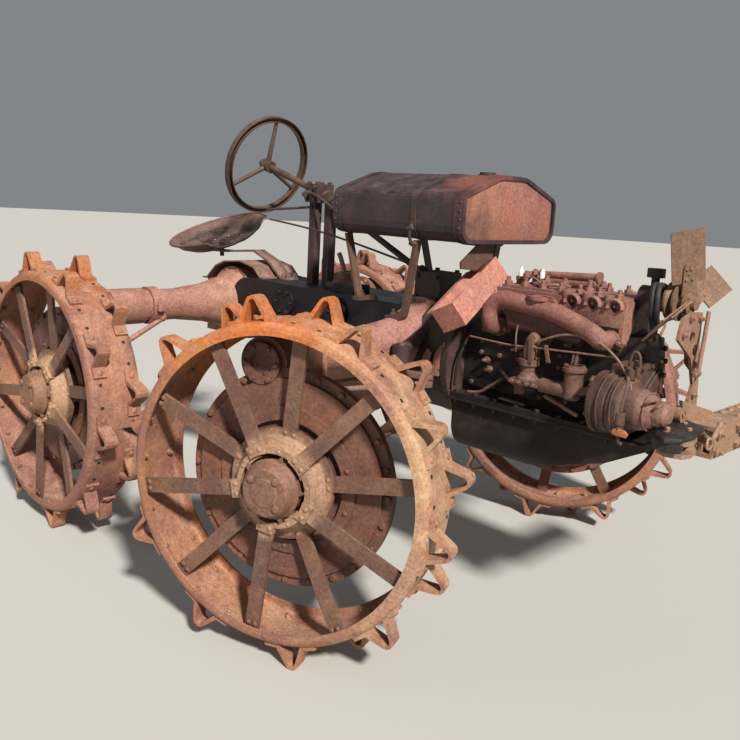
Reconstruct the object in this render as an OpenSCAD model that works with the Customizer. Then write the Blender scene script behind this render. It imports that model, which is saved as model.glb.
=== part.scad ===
// Four-wheel-drive farm tractor on steel wheels, found state: no hood, radiator or fenders.
// Working frame: X forward, Y left, Z up, x = 0 at the front kingpins, z = 0 at the wheel axes.
// place() moves all of it so that the origin is at the middle of the base, on the ground.

/* [Wheels] */
// radius of the rim's tread band
rim_r = 482.6; // [400:0.1:560]
// width of the rim's tread band
rim_w = 203; // [150:1:300]
// radial reach of the rim's inward flanges
rim_lip = 38; // [30:1:50]
// radius of the rim's rolled edges
rim_edge = 24; // [14:1:28]
// height of a lug loop over the tread band
lug_h = 74; // [50:1:120]
// width of a lug's strap, across the tread
lug_w = 50; // [30:1:80]
// side of a lug inboard of the rim's edge
lug_in = 15; // [13:1:30]
// thickness of a lug's strap
lug_t = 10; // [6:1:16]
// lugs in each of the two rows
lug_n = 10; // [6:1:16]
// spokes in all, every other one to the outer flange
spoke_n = 10; // [6:2:16]
// width of a flat spoke
spoke_w = 46; // [30:1:70]
// thickness of a flat spoke
spoke_t = 12; // [8:1:20]

/* [Layout] */
// distance between the rims' middle planes on one axle
track = 1720; // [1220:10:1930]
// rear wheel axis behind the front kingpins
rear_x = 1240; // [1000:10:1600]
// kingpin inboard of the front rim's middle plane
kp_in = 170; // [120:5:220]
// wheel axis ahead of the kingpin, or behind the rear axle line
lead = 100; // [0:5:150]
// height of the axle lines over the wheel axes
axle_z = 340; // [250:5:380]
// steering angle of the stored pose, wheels to the left
steer = 21.4; // [-30:0.1:30]
// radius of the kingpins
kp_r = 16; // [12:1:24]
// tie rod's pins behind the kingpins
tie_l = 130; // [90:5:160]
// drag link's pins from their pivots
link_l = 100; // [70:5:120]

/* [Gear cases] */
// radius of a wheel's gear case
case_r = 335; // [250:5:360]
// thickness of a gear case
case_t = 110; // [60:5:120]
// outer face of a gear case, inboard of the rim's middle plane
case_off = 4; // [0:1:60]
// radius of the wheel spindle
spindle_r = 45; // [30:1:60]

/* [Engine] */
// length of the cylinder block
blk_l = 553; // [450:1:700]
// radius of the exhaust manifold's pipe
mf_r = 28; // [20:1:34]
// radius of the belt-driven housing beside the block
drum_r = 84; // [60:1:90]

/* [Tank] */
// length of the fuel tank
tank_l = 600; // [400:10:800]
// width of the fuel tank
tank_w = 516; // [400:2:700]
// underside of the tank over the wheel axes
tank_z = 705; // [600:5:800]
// height of the tank at its flat crown
tank_h = 220; // [150:5:300]

/* [Controls] */
// outside radius of the steering wheel
sw_r = 213; // [180:1:250]
// fall of the steering shaft towards the front
sw_tilt = 16.7; // [0:0.1:45]
// radius of the fan at the blade tips
fan_r = 215; // [150:5:260]
// pitch of the fan's blades
fan_pitch = 42; // [10:1:60]
// radius of the seat pan
seat_r = 236; // [180:1:280]
// radius of the drawbar's pin hole
draw_hole_r = 14; // [8:0.5:25]

/* [Fits] */
// running clearance of a shaft in its hole
run_c = 0.05; // [0.02:0.01:0.1]

/* [Hidden] */
// engine, trough and cross channel follow each other from the clutch housing's front face
tr_x0 = 240;
blk_x1 = tr_x0 + blk_l;
tr_x1 = blk_x1 + 147;
bol_x = tr_x1 + 60;
bol_d = 95;
front_x = bol_x + bol_d;
mid_r = rim_r - 8;
hw = rim_w / 2;
tip_r = rim_r + lug_h;
kp_y = track / 2 - kp_in;
// lugs nearest the ground stand 9 degrees off the lowest point
wheel_z = tip_r * cos(9);
shift_x = (rear_x + wheel_z - front_x) / 2;
shift_y = -lead * sin(steer);
axle_rx = -rear_x + lead;
// upright shaft of the steering gear
piv = [112, -300];
piv_r = 14;
$fn = 48;

rust = [0.36, 0.22, 0.19];
dark = [0.16, 0.12, 0.13];
pale = [0.62, 0.40, 0.32];

module place() { translate([shift_x, shift_y, wheel_z]) children(); }

// round bar from point a to point b
module bar(a, b, r) {
  d = b - a;
  l = norm(d);
  translate(a) rotate([0, acos(d[2] / l), atan2(d[1], d[0])]) cylinder(r = r, h = l);
}
// cylinder along X, from x over length l
module cx(x, l, r) { translate([x, 0, 0]) rotate([0, 90, 0]) cylinder(r = r, h = l); }
// cylinder along Y, from y over length l, r to r2
module cy(y, l, r, r2 = -1) {
  translate([0, y, 0]) rotate([-90, 0, 0]) cylinder(r1 = r, r2 = r2 < 0 ? r : r2, h = l);
}
module box(a, b) { translate(a) cube(b - a); }

// Wheels.
// A wheel's own frame: axis on Y, outer side towards -Y, X forward.

// points of an arc round c from angle a0 to a1 in n steps
function arc(c, r, a0, a1, n) =
  [for (i = [0:n]) let (a = a0 + (a1 - a0) * i / n) c + r * [cos(a), sin(a)]];

// rim profile: tread band whose edges roll over into two inward lips
rim_t = 8;
edge_c = rim_r - rim_edge;
rim_pts = concat([[rim_r - rim_lip, -hw]], arc([edge_c, -hw + rim_edge], rim_edge, -90, 0, 4),
  arc([edge_c, hw - rim_edge], rim_edge, 0, 90, 4), [[rim_r - rim_lip, hw], [rim_r - rim_lip, hw - rim_t]],
  arc([edge_c, hw - rim_edge], rim_edge - rim_t, 90, 0, 3),
  arc([edge_c, -hw + rim_edge], rim_edge - rim_t, 0, -90, 3), [[rim_r - rim_lip, -hw + rim_t]]);

// a lug in its own plane: u along the tread, v out from the band
function ring_pt(u, v) = [u, sqrt(pow(rim_r + v, 2) - u * u)];
lug_foot = 84;
lug_base = 46;
lug_a = 22;
lug_c = [0, rim_r + lug_h - lug_a];
lug_out = concat([ring_pt(-lug_foot, -3), ring_pt(-lug_foot, lug_t), ring_pt(-lug_base, lug_t)],
  arc(lug_c, lug_a, 162, 18, 4), [ring_pt(lug_base, lug_t), ring_pt(lug_foot, lug_t), ring_pt(lug_foot, -3),
  ring_pt(lug_base - lug_t, -3)], arc(lug_c, lug_a - lug_t, 18, 162, 3), [ring_pt(lug_t - lug_base, -3)]);
module lug(ang, y) {
  rotate([0, -ang + 90, 0]) translate([0, y + lug_w / 2, 0]) rotate([90, 0, 0])
    linear_extrude(lug_w) polygon(lug_out);
}

module rim() {
  rotate([90, 0, 0]) rotate_extrude($fn = 96) polygon(rim_pts);
  for (k = [0:lug_n - 1]) {
    lug(-81 + k * 360 / lug_n, -hw + lug_in + lug_w / 2);
    lug(-99 + k * 360 / lug_n, hw - lug_in - lug_w / 2);
  }
}

// y of the spokes' ends: at the hub and at the rim, outer and inner row
sp_outer = [-76, -66];
sp_inner = [-26, -60];
hub_r = 120;
hub_in = 104;
hub_y = -84;
module spoke(ang, ends) {
  rotate([0, -ang, 0]) multmatrix([[1, 0, 0, 0],
    [(ends[1] - ends[0]) / (mid_r - hub_r), 1, 0, ends[0] - hub_r * (ends[1] - ends[0]) / (mid_r - hub_r)],
    [0, 0, 1, 0], [0, 0, 0, 1]])
    translate([hub_r - 10, -spoke_t / 2, -spoke_w / 2]) cube([mid_r - hub_r + 30, spoke_t, spoke_w]);
}
module spokes() {
  difference() {
    union() {
      intersection() {
        union() {
          for (k = [0:spoke_n / 2 - 1]) {
            spoke(46 + k * 720 / spoke_n, sp_outer);
            spoke(10 + k * 720 / spoke_n, sp_inner);
          }
        }
        cy(-hw - 5, rim_w + 10, mid_r);
      }
      // cone from the outer ring back to the flange of the inner spokes
      cy(hub_y, 14, hub_r);
      cy(hub_y, 54, hub_in + 12, 150);
      cy(hub_y + 50, 16, 168);
      // ends of the outer spokes, turned over the ring's edge
      for (k = [0:spoke_n / 2 - 1]) rotate([0, -46 - k * 720 / spoke_n, 0])
        translate([hub_in - 4, hub_y - 8, -spoke_w / 2 - 4]) cube([36, 20, spoke_w + 8]);
    }
    cy(hub_y - 10, 70, hub_in);
    cy(-100, 140, spindle_r + run_c);
  }
  // lands inside the ring
  for (a = [40, 130, 215, 310]) rotate([0, -a, 0]) intersection() {
    difference() { cy(hub_y + 3, 12, hub_in + 2); cy(hub_y, 20, hub_in - 8); }
    translate([hub_in - 20, hub_y, -26]) cube([30, 20, 52]);
  }
}
// cap of the hub with five pointed ribs, seen in its ring
cap_r = 72;
module cap() {
  difference() {
    union() {
      // revolved cap: face, rounded edge, skirt that widens to a collar, barrel behind it
      rotate([90, 0, 0]) rotate_extrude() polygon([[0, 24], [84, 24], [84, 84], [cap_r + 17, 86],
        [cap_r + 18, 92], [cap_r + 10, 104], [cap_r + 4, 122], [cap_r, 130], [cap_r - 4, 133], [44, 133],
        [40, 136], [0, 136]]);
      for (k = [0:4]) rotate([0, -2 - k * 72, 0]) translate([0, hub_y - 10, 0]) rotate([-90, 0, 0])
        linear_extrude(12) polygon([[cap_r, -15], [hub_in - 3, -2], [hub_in - 3, 2], [cap_r, 15]]);
    }
    cy(-71, 53, spindle_r + run_c);
  }
}
// children in a front wheel's place: side -1 right, 1 left
module front(side) {
  translate([0, side * kp_y, 0]) rotate([0, 0, steer]) translate([lead, side * kp_in, 0])
    mirror([0, side > 0 ? 1 : 0, 0]) children();
}
module rear(side) {
  translate([-rear_x, side * track / 2, 0]) mirror([0, side > 0 ? 1 : 0, 0]) children();
}

// gear case in the wheel's frame, dir 1: axle line behind the wheel axis, -1: ahead of it
case_f = 26;
module gear_case(dir) {
  difference() {
    union() {
      // flanged halves: thinner body in front, wide flange behind
      cy(case_off, case_f + 10, case_r - 30);
      cy(case_off + 12, case_f, case_r);
      cy(case_off + 30, case_t - 30, case_r - 22, case_r - 60);
      translate([-dir * lead, 0, axle_z]) cy(case_off - 4, case_t + 4, 62);
      translate([-dir * lead, 0, axle_z]) cy(case_off + 14, case_t - 14, 78);
      translate([-dir * lead - 60, case_off + 12, 200]) cube([120, case_t - 12, axle_z - 200]);
      // raised ring of the face and the hub's seat
      cy(case_off - 8, 12, 225);
      cy(-12, 18, 80);
    }
    difference() { cy(case_off - 13, 24, 184); cy(case_off - 17, 30, 80); }
    translate([-dir * lead, 0, axle_z]) cy(case_off - 5, 16, 38);
  }
  cy(-68, case_off + 78, spindle_r);
}
module rear_case(side) {
  rear(side) {
    gear_case(-1);
    // mounting flange for the axle tube
    translate([lead, 0, axle_z]) cy(case_off + case_t, 22, 88);
  }
}
// steering knuckle: gear case, kingpin barrel, arms for the rods
barrel_h = 70;
arm_z = 205;
arm_t = 18;
pin_r = 10;
eye_h = 22;
tie_z = arm_z - eye_h - 3;
link_z = arm_z + arm_t + 5;
module rod_arm(l) {
  box([min(0, l), -16, arm_z], [max(0, l), 16, arm_z + arm_t]);
  translate([l, 0, arm_z]) cylinder(r = 20, h = arm_t);
}
module knuckle(side) {
  front(side) difference() {
    union() {
      gear_case(1);
      translate([-lead, kp_in, axle_z - barrel_h]) cylinder(r = 32, h = 2 * barrel_h);
      translate([-lead - 32, case_off + case_t - 5, axle_z - barrel_h])
        cube([64, kp_in - case_off - case_t + 5, 2 * barrel_h]);
    }
    translate([-lead, kp_in, axle_z - barrel_h - 5]) cylinder(r = kp_r + run_c, h = 2 * barrel_h + 10);
  }
  translate([0, side * kp_y, 0]) rotate([0, 0, steer]) {
    rod_arm(-tie_l);
    translate([-tie_l, 0, tie_z - 2]) cylinder(r = pin_r, h = eye_h + 10);
    box([-16, min(0, side * (kp_in - case_off - case_t + 4)), arm_z],
      [16, max(0, side * (kp_in - case_off - case_t + 4)), arm_z + arm_t]);
    if (side < 0) {
      rod_arm(link_l);
      translate([link_l, 0, arm_z + 5]) cylinder(r = pin_r, h = link_z + eye_h - arm_z - 3);
    }
  }
}
// round rod with an eye at each end, at height z
module eye_rod(a, b, z, r) {
  difference() {
    union() {
      for (p = [a, b]) translate([p[0], p[1], z]) cylinder(r = 19, h = eye_h);
      bar([a[0], a[1], z + eye_h / 2], [b[0], b[1], z + eye_h / 2], r);
    }
    for (p = [a, b]) translate([p[0], p[1], z - 1]) cylinder(r = pin_r + run_c, h = eye_h + 2);
  }
}
function turned(l) = [l * cos(steer), l * sin(steer)];
module tie_rod() { eye_rod(turned(-tie_l) + [0, -kp_y], turned(-tie_l) + [0, kp_y], tie_z, 9); }
module drag_link() { eye_rod(turned(link_l) + [0, -kp_y], turned(link_l) + piv, link_z, 9); }
// arm on the gear's upright shaft, its pin in the drag link
piv_z = link_z + eye_h + 4;
module steering_arm() {
  translate([piv[0], piv[1], 0]) rotate([0, 0, steer]) {
    translate([0, 0, piv_z]) cylinder(r = 24, h = arm_t);
    box([0, -15, piv_z], [link_l, 15, piv_z + arm_t]);
    translate([link_l, 0, piv_z]) cylinder(r = 20, h = arm_t);
    translate([link_l, 0, link_z - 2]) cylinder(r = pin_r, h = piv_z - link_z + 6);
    translate([0, 0, piv_z]) cylinder(r = piv_r, h = 110);
  }
}

// Frame and drive line.
tr_w = 165;
tr_top = 195;
tr_t = 8;
// side view of the trough, taken in by t
module trough_side(t) {
  translate([0, tr_w, 0]) rotate([90, 0, 0]) linear_extrude(2 * tr_w)
    polygon([[tr_x0 + (t > 0 ? -10 : 0), tr_top + t * 2], [tr_x0 + (t > 0 ? -10 : 0), 20 + t], [330, 8 + t],
      [500, 8 + t], [600, 32 + t], [700, 72 + t], [820, 108 + t], [tr_x1 - t, 172 + t],
      [tr_x1 - t, tr_top + t * 2]]);
}
module trough_cross(t) {
  translate([tr_x0 - 20, 0, 0]) rotate([90, 0, 90]) linear_extrude(tr_x1 - tr_x0 + 40) {
    for (s = [-1, 1]) translate([s * (tr_w - 90), 98]) circle(r = 90 - t);
    translate([-tr_w + 90, 8 + t]) square([2 * tr_w - 180, 200]);
    translate([-tr_w + t, 98]) square([2 * tr_w - 2 * t, 120]);
  }
}
module frame_trough() {
  difference() {
    intersection() { trough_side(0); trough_cross(0); }
    intersection() { trough_side(tr_t); trough_cross(tr_t); }
  }
  // turned-out edges
  for (s = [-1, 1]) mirror([0, s < 0 ? 1 : 0, 0])
    box([tr_x0, tr_w - tr_t, tr_top - tr_t], [tr_x1, tr_w + 22, tr_top]);
}
bol_z = [170, 262];
module front_bolster() {
  // bracket on the trough's end
  box([tr_x1, -60, 150], [bol_x, 60, 250]);
  // channel across, open to the front, its right part closed by a plate
  difference() {
    box([bol_x, -60, bol_z[0]], [front_x - 10, 400, bol_z[1]]);
    box([bol_x + 9, -70, bol_z[0] + 12], [front_x, 410, bol_z[1] - 12]);
  }
  box([front_x - 19, -55, bol_z[0] + 12], [front_x - 10, 118, bol_z[1] - 12]);
  for (y = [-60, 391]) box([bol_x, y, bol_z[0]], [front_x - 40, y + 9, bol_z[1]]);
  multmatrix([[1, 0, 0, 0], [0, 1, 0.7, 205], [0, 0, 1, bol_z[0] + 5], [0, 0, 0, 1]])
    box([front_x - 40, 0, 0], [front_x - 12, 10, bol_z[1] - bol_z[0] - 10]);
  // forked plates towards the right
  for (z = [204, 238]) translate([bol_x, 0, z]) linear_extrude(12) difference() {
    polygon([[-45, -25], [-44, -107], [-10, -200], [6, -240], [40, -262], [82, -248], [92, -215], [80, -160],
      [38, -84], [20, -50]]);
    translate([52, -222]) circle(r = 15);
  }
  translate([bol_x, 0, 212]) linear_extrude(30) polygon([[-40, -62], [-38, -120], [-10, -140], [12, -62]]);
  // triangular plate on the channel and the eye at its end
  translate([bol_x, 0, 0]) rotate([90, 0, 90]) linear_extrude(10)
    polygon([[-124, 332], [91, 272], [91, bol_z[1] - 2], [-58, bol_z[1] - 2], [-100, 272]]);
  translate([bol_x - 12, -106, 288]) rotate([0, 90, 0]) difference() {
    cylinder(r = 24, h = 24);
    translate([0, 0, -1]) cylinder(r = 12, h = 26);
  }
}
bell_x = 60;
bell_r = 200;
eng_z = 300;
module bell() {
  translate([0, 0, eng_z]) { cx(bell_x, tr_x0 - bell_x, bell_r); cx(tr_x0 - 25, 25, bell_r + 15); }
}
module clutch_housing() {
  difference() {
    bell();
    front_core();
    translate([0, 0, axle_z]) trumpets(400);
  }
}
blk_w = 118;
blk_top = 500;
head_top = 583;
head_x0 = tr_x0 + 110;
module timing_case() {
  translate([0, 0, 395]) cx(blk_x1 - 5, 57, 92);
  box([blk_x1 - 5, -92, 205], [blk_x1 + 52, 92, 396]);
}
module engine_block() {
  box([tr_x0, -blk_w, 112], [blk_x1 - 40, blk_w, blk_top]);
  box([blk_x1 - 50, -blk_w, 150], [blk_x1, blk_w, blk_top]);
  // ledge on the trough's edges
  box([tr_x0, -tr_w - 20, tr_top], [blk_x1 + 57, tr_w + 20, tr_top + 16]);
  // covers on both sides and timing case in front
  for (s = [-1, 1]) mirror([0, s < 0 ? 1 : 0, 0]) {
    box([tr_x0 + 60, blk_w - 2, 345], [blk_x1 - 90, blk_w + 9, 398]);
    box([tr_x0 + 30, blk_w - 2, 235], [blk_x1 - 30, blk_w + 14, 262]);
  }
  timing_case();
}
// head with a rounded end plate; the ports' x from the front face
ports = [19, 92, 162];
module cylinder_head() {
  difference() {
    union() {
      box([head_x0, -blk_w, blk_top], [blk_x1, blk_w, head_top - 10]);
      box([head_x0 + 8, -blk_w + 14, head_top - 12], [blk_x1 - 8, blk_w - 14, head_top]);
    }
    for (d = ports) translate([blk_x1 - d, 0, head_top - 24]) cy(-blk_w - 1, 22, 15);
  }
  for (d = ports) translate([blk_x1 - d - 28, -blk_w + 12, head_top - 12]) cylinder(r = 15, h = 20);
  translate([blk_x1, 0, 0]) rotate([90, 0, 90]) linear_extrude(13) polygon(concat(
    [[-blk_w, 436], [-blk_w, head_top - 6]], arc([-blk_w + 34, head_top - 22], 24, 110, 0, 3),
    [[-blk_w + 58, 505], [-blk_w + 40, 465]]));
  // seats of the spark plugs, and a taller fitting
  for (x = [144, 226]) translate([tr_x0 + x, -40, head_top - 2]) cylinder(r = 13, h = 16);
  translate([tr_x0 + 376, 0, head_top - 2]) { cylinder(r = 14, h = 14); cylinder(r = 8, h = 38); }
}
// pipe swept along the points p in the plane y, with 12 sides
function tan_at(p, i) = let (d = p[min(i + 1, len(p) - 1)] - p[max(i - 1, 0)]) d / norm(d);
module swept(p, y, r) {
  polyhedron(
    points = [for (i = [0:len(p) - 1]) for (k = [0:11])
      let (t = tan_at(p, i), c = r * cos(k * 30), s = r * sin(k * 30))
      [p[i][0] - t[1] * c, y + s, p[i][1] + t[0] * c]],
    faces = concat([[for (k = [11:-1:0]) k]], [[for (k = [0:11]) (len(p) - 1) * 12 + k]],
      [for (i = [0:len(p) - 2]) for (k = [0:11]) let (a = i * 12 + k, b = i * 12 + (k + 1) % 12)
        [a, b, b + 12, a + 12]]));
}
// x and z of the manifold's bends, then its swept run
mf_y = -178;
mf_a = [tr_x0 + 138, 446];
mf_b = [blk_x1 - 22, 466];
mf = concat([mf_a, mf_a + [0, 22]], arc(mf_a + [62, 20], 62, 160, 100, 3), [mf_a + [140, 88],
  [(mf_a[0] + mf_b[0]) / 2, 537], mf_b - [150, -57], mf_b - [92, -46]], arc(mf_b - [48, 14], 48, 74, 14, 3));
mf_m = [(mf_a[0] + mf_b[0]) / 2 - 20, 536];
module exhaust_manifold() {
  difference() {
    union() {
      swept(mf, mf_y, mf_r);
      for (p = [mf_a, mf_b - [0, 4]]) translate([p[0], 0, p[1]]) {
        cy(mf_y - mf_r - 2, mf_r + 2 - mf_y - blk_w, mf_r + 5);
        cy(-blk_w - 12, 12, mf_r + 16);
      }
      translate([mf_m[0], 0, mf_m[1]]) { cy(mf_y, -blk_w - mf_y, mf_r - 2); cy(-blk_w - 12, 12, mf_r + 16); }
      // open flange on top
      translate([mf_m[0], mf_y, mf_m[1]]) cylinder(r = mf_r - 1, h = 26);
      translate([mf_m[0], mf_y, mf_m[1] + 20]) linear_extrude(11) difference() {
        union() { circle(r = mf_r + 10); square([2 * mf_r + 44, 26], center = true); }
        for (s = [-1, 1]) translate([s * (mf_r + 15), 0]) circle(r = 5);
      }
    }
    translate([mf_m[0], mf_y, mf_m[1] + 6]) cylinder(r = mf_r - 7, h = 40);
  }
}
// intake elbow down to the carburettor, float bowl, and the air horn to the front
cb_x = tr_x0 + 306;
cb_y = -190;
cb_bend = 44;
module carburetor() {
  translate([cb_x, 0, 443]) { cy(cb_y + cb_bend, -blk_w - cb_y - cb_bend, 21); cy(-blk_w - 10, 10, 36); }
  translate([cb_x, cb_y + cb_bend, 443 - cb_bend]) rotate([90, 0, -90]) rotate_extrude(angle = 90)
    translate([cb_bend, 0]) circle(r = 21);
  translate([cb_x, cb_y, 366]) { cylinder(r = 21, h = 34); cylinder(r = 31, h = 9); }
  translate([cb_x, cb_y, 357]) rotate_extrude() polygon([[0, -50], [34, -50], [34, -42], [27, -34],
    [22, -22], [22, -8], [31, 0], [31, 9], [0, 9]]);
  box([cb_x - 44, cb_y - 30, 296], [cb_x + 52, cb_y + 30, 312]);
  translate([cb_x - 24, cb_y, 262]) cylinder(r = 18, h = 38);
  translate([0, cb_y, 303]) cx(cb_x + 50, 110, 22);
  // cup with a rim and a side spout
  translate([cb_x + 160, cb_y, 280]) difference() {
    rotate_extrude() polygon([[0, 0], [20, 0], [28, 8], [28, 82], [36, 86], [36, 96], [32, 98], [32, 104],
      [0, 104]]);
    translate([0, 0, 70]) cylinder(r = 20, h = 40);
  }
  multmatrix([[1, 0, 0, cb_x + 160], [0, 1, 0, cb_y], [0.35, 0, 1, 300], [0, 0, 0, 1]]) cx(20, 46, 13);
}
// fan's centre, spindle radius, and half the depth its blades sweep, with room to turn
fan_x = blk_x1 + 144;
fan_z = 588;
fan_s = 12;
fan_clear = 48 * sin(fan_pitch) + 10;
// ribbed drum, cone and domed end on a fore-and-aft shaft; axis and start, length of the housing beside it
dr = [blk_x1 + 15, -200, 300];
hs_l = fan_x - fan_clear - dr[0] - 12;
module accessory_drive() {
  difference() {
    drive_forms();
    timing_case();
  }
}
module drive_forms() {
  translate(dr) rotate([0, 90, 0]) rotate_extrude() polygon([[0, 0], [drum_r + 6, 0], [drum_r + 6, 14],
    [drum_r - 2, 14], [drum_r - 2, 22], [drum_r, 22], [drum_r, 48], [drum_r - 6, 51], [drum_r - 6, 55],
    [drum_r, 58], [drum_r, 88], [drum_r - 12, 96], [60, 98], [58, 128], [50, 150], [40, 166], [36, 168],
    [36, 184], [32, 198], [22, 207], [8, 210], [0, 210]]);
  // carrier on the timing case, lug over the drum, cast housing in front with a rounded corner
  box([blk_x1, dr[1] - 20, 232], [dr[0] + 6, -80, 372]);
  translate([0, dr[1] + 14, 0]) rotate([90, 0, 0]) linear_extrude(16)
    polygon([[dr[0], 340], [dr[0] + 4, 372], [dr[0] + 24, 396], [dr[0] + 62, 398], [dr[0] + 50, 372],
    [dr[0] + 40, 350]]);
  translate([dr[0] + 4, 0, 0]) rotate([90, 0, 90]) linear_extrude(hs_l) polygon(concat([[-165, 290],
    [-170, 404]], arc([-34, 384], 26, 90, 0, 3), [[-8, 290]]));
  translate([dr[0] + 2 + hs_l, 0, 0]) rotate([90, 0, 90]) linear_extrude(8) difference() {
    polygon(concat([[-172, 286], [-177, 410]], arc([-34, 384], 33, 90, 0, 3), [[-1, 286]]));
    polygon(concat([[-156, 300], [-160, 395]], arc([-34, 384], 14, 90, 0, 3), [[-20, 300]]));
  }
  for (k = [0:1]) bar([dr[0] + 5 + hs_l, -158 + k * 40, 306], [dr[0] + 5 + hs_l, -60 + k * 30, 384], 5);
  // fuel cock under the drum's front
  translate([dr[0] + 96, dr[1] - 66, 0]) {
    translate([0, 0, 262]) cylinder(r = 15, h = 34);
    translate([0, 0, 228]) cylinder(r = 9, h = 40);
    box([-8, 0, 270], [8, 26, 286]);
  }
}
// carrier of the fan's spindle on the timing case, and the breather behind it
module fan_bracket() {
  difference() {
    box([blk_x1, -34, 430], [blk_x1 + 46, 34, fan_z + 10]);
    timing_case();
  }
  translate([0, 0, fan_z]) { cx(blk_x1, 78, 36); cx(blk_x1 + 70, fan_x - 2 - blk_x1 - 70, fan_s); }
  translate([blk_x1 + 36, 0, fan_z + 5]) {
    cylinder(r = 12, h = 60);
    translate([0, 0, 56]) cylinder(r = 26, h = 26);
  }
}
// pulley and hub on the spindle, four twisted blades on the arms of a spider
module fan() {
  translate([fan_x, 0, fan_z]) {
    difference() {
      rotate([0, 90, 0]) rotate_extrude() polygon([[0, -54], [56, -54], [56, -48], [44, -38], [56, -28],
        [56, -22], [26, -22], [26, -6], [36, -6], [36, 8], [22, 12], [20, 24], [0, 26]]);
      cx(-60, 60, fan_s + run_c);
    }
    for (k = [0:3]) rotate([18 + k * 90, 0, 0]) rotate([0, 0, -fan_pitch]) {
      translate([-2, -48, 62]) cube([4, 96, fan_r - 62]);
      translate([1, 0, 0]) rotate([0, -90, 180]) linear_extrude(6) polygon(concat([[20, -24], [20, 24]],
        arc([106, 0], 14, 80, -80, 3)));
    }
  }
}
// tapered support plate with round holes, in front of the fan
module front_plate() {
  translate([fan_x + fan_clear, -22, 0]) rotate([90, 0, 90]) linear_extrude(9) difference() {
    polygon([[-128, 500], [-112, 556], [-60, 572], [6, 568], [12, 480], [34, 400], [48, 300], [50, 250],
      [-38, 250], [-20, 300], [4, 360], [-34, 440]]);
    for (p = [[-42, 500], [-14, 462], [14, 372]]) translate(p) circle(r = p[1] > 400 ? 16 : 8);
  }
}
// water pipes along the head's top
module engine_pipes() {
  bar([tr_x0 + 145, 32, 612], [tr_x0 + 392, 32, 626], 13);
  bar([tr_x0 + 205, 30, 597], [tr_x0 + 412, 30, 600], 12);
  for (x = [160, 372]) box([tr_x0 + x, 20, head_top], [tr_x0 + x + 14, 44, 622]);
  translate([tr_x0 + 385, 32, 625]) rotate([0, 90, 0]) cylinder(r = 19, h = 8);
}

// Axles and transmission.
core_w = 70;
core_r = 150;
tube_r = 66;
// centre housing of an axle, about its own line
module axle_core() {
  cy(-core_w, 2 * core_w, core_r);
  for (s = [-1, 1]) mirror([0, s < 0 ? 1 : 0, 0]) {
    cy(core_w, 18, core_r + 5);
    cy(core_w + 18, 62, core_r - 8, 112);
  }
}
module front_core() { translate([0, 0, axle_z]) axle_core(); }
module rear_core() { translate([axle_rx, 0, axle_z]) axle_core(); }
module trumpets(end) {
  for (s = [-1, 1]) mirror([0, s < 0 ? 1 : 0, 0]) {
    cy(core_w + 80, 100, 112, 84);
    cy(core_w + 180, 130, 84, tube_r + 2);
    cy(core_w + 310, end - core_w - 310, tube_r);
  }
}
fork_in = 85;
fork_z = barrel_h + 2;
module front_axle() {
  front_core();
  translate([0, 0, axle_z]) {
    trumpets(kp_y - fork_in - 20);
    for (s = [-1, 1]) mirror([0, s < 0 ? 1 : 0, 0]) {
      // fork round the kingpin
      box([-62, kp_y - fork_in - 20, -fork_z - 20], [62, kp_y - fork_in, fork_z + 20]);
      for (z = [-fork_z - 20, fork_z]) {
        box([-28, kp_y - fork_in - 5, z], [28, kp_y, z + 20]);
        translate([0, kp_y, z]) cylinder(r = 28, h = 20);
      }
      translate([0, kp_y, -fork_z - 15]) cylinder(r = kp_r, h = 2 * fork_z + 30);
    }
  }
}
tm_top = 465;
tm_w = 140;
module transmission() {
  difference() {
    union() {
      // case in side view, its rear top edge rounded
      translate([0, tm_w, 0]) rotate([90, 0, 0]) linear_extrude(2 * tm_w)
        polygon(concat([[axle_rx + 60, 215], [-60, 215], [-60, tm_top]],
        arc([axle_rx + 180, tm_top - 110], 110, 90, 150, 4), [[axle_rx + 60, 390]]));
      box([axle_rx + 150, -tm_w - 20, 300], [-160, tm_w + 20, 330]);
      // round covers on both sides, shift tower on top
      for (x = [-700, -380]) translate([x, 0, 390]) cy(-tm_w - 10, 2 * tm_w + 20, 58);
      translate([-520, 20, tm_top - 1]) rotate_extrude() polygon([[0, 0], [78, 0], [78, 12], [52, 20],
        [34, 46], [34, 62], [0, 66]]);
      box([-440, -110, tm_top - 1], [-330, -20, tm_top + 34]);
    }
    front_core();
    rear_core();
  }
}
// end of the rear axle's tubes, at the gear case's flange
rear_end = track / 2 - case_off - case_t - 22;
module rear_axle() {
  difference() {
    box([axle_rx - 190, -90, 260], [axle_rx, 90, 425]);
    rear_core();
  }
  rear_core();
  translate([axle_rx, 0, axle_z]) {
    trumpets(rear_end);
    // clamp, outer sleeve and brace of each tube
    for (s = [-1, 1]) mirror([0, s < 0 ? 1 : 0, 0]) translate([0, rear_end, 0]) {
      cy(-240, 44, tube_r + 12);
      box([tube_r - 10, -232, -14], [tube_r + 28, -204, 14]);
      cy(-172, 152, tube_r + 8);
      bar([50, -246, -52], [50, 17, -188], 11);
      translate([50, -246, -46]) sphere(r = 19);
    }
  }
}
module drawbar() {
  difference() {
    union() {
      box([axle_rx - 260, -35, 170], [axle_rx + 60, 35, 190]);
      translate([axle_rx - 260, 0, 170]) cylinder(r = 35, h = 20);
      box([axle_rx - 60, -45, 185], [axle_rx + 60, 45, 225]);
    }
    translate([axle_rx - 260, 0, 165]) cylinder(r = draw_hole_r, h = 30);
    rear_core();
  }
}

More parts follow.
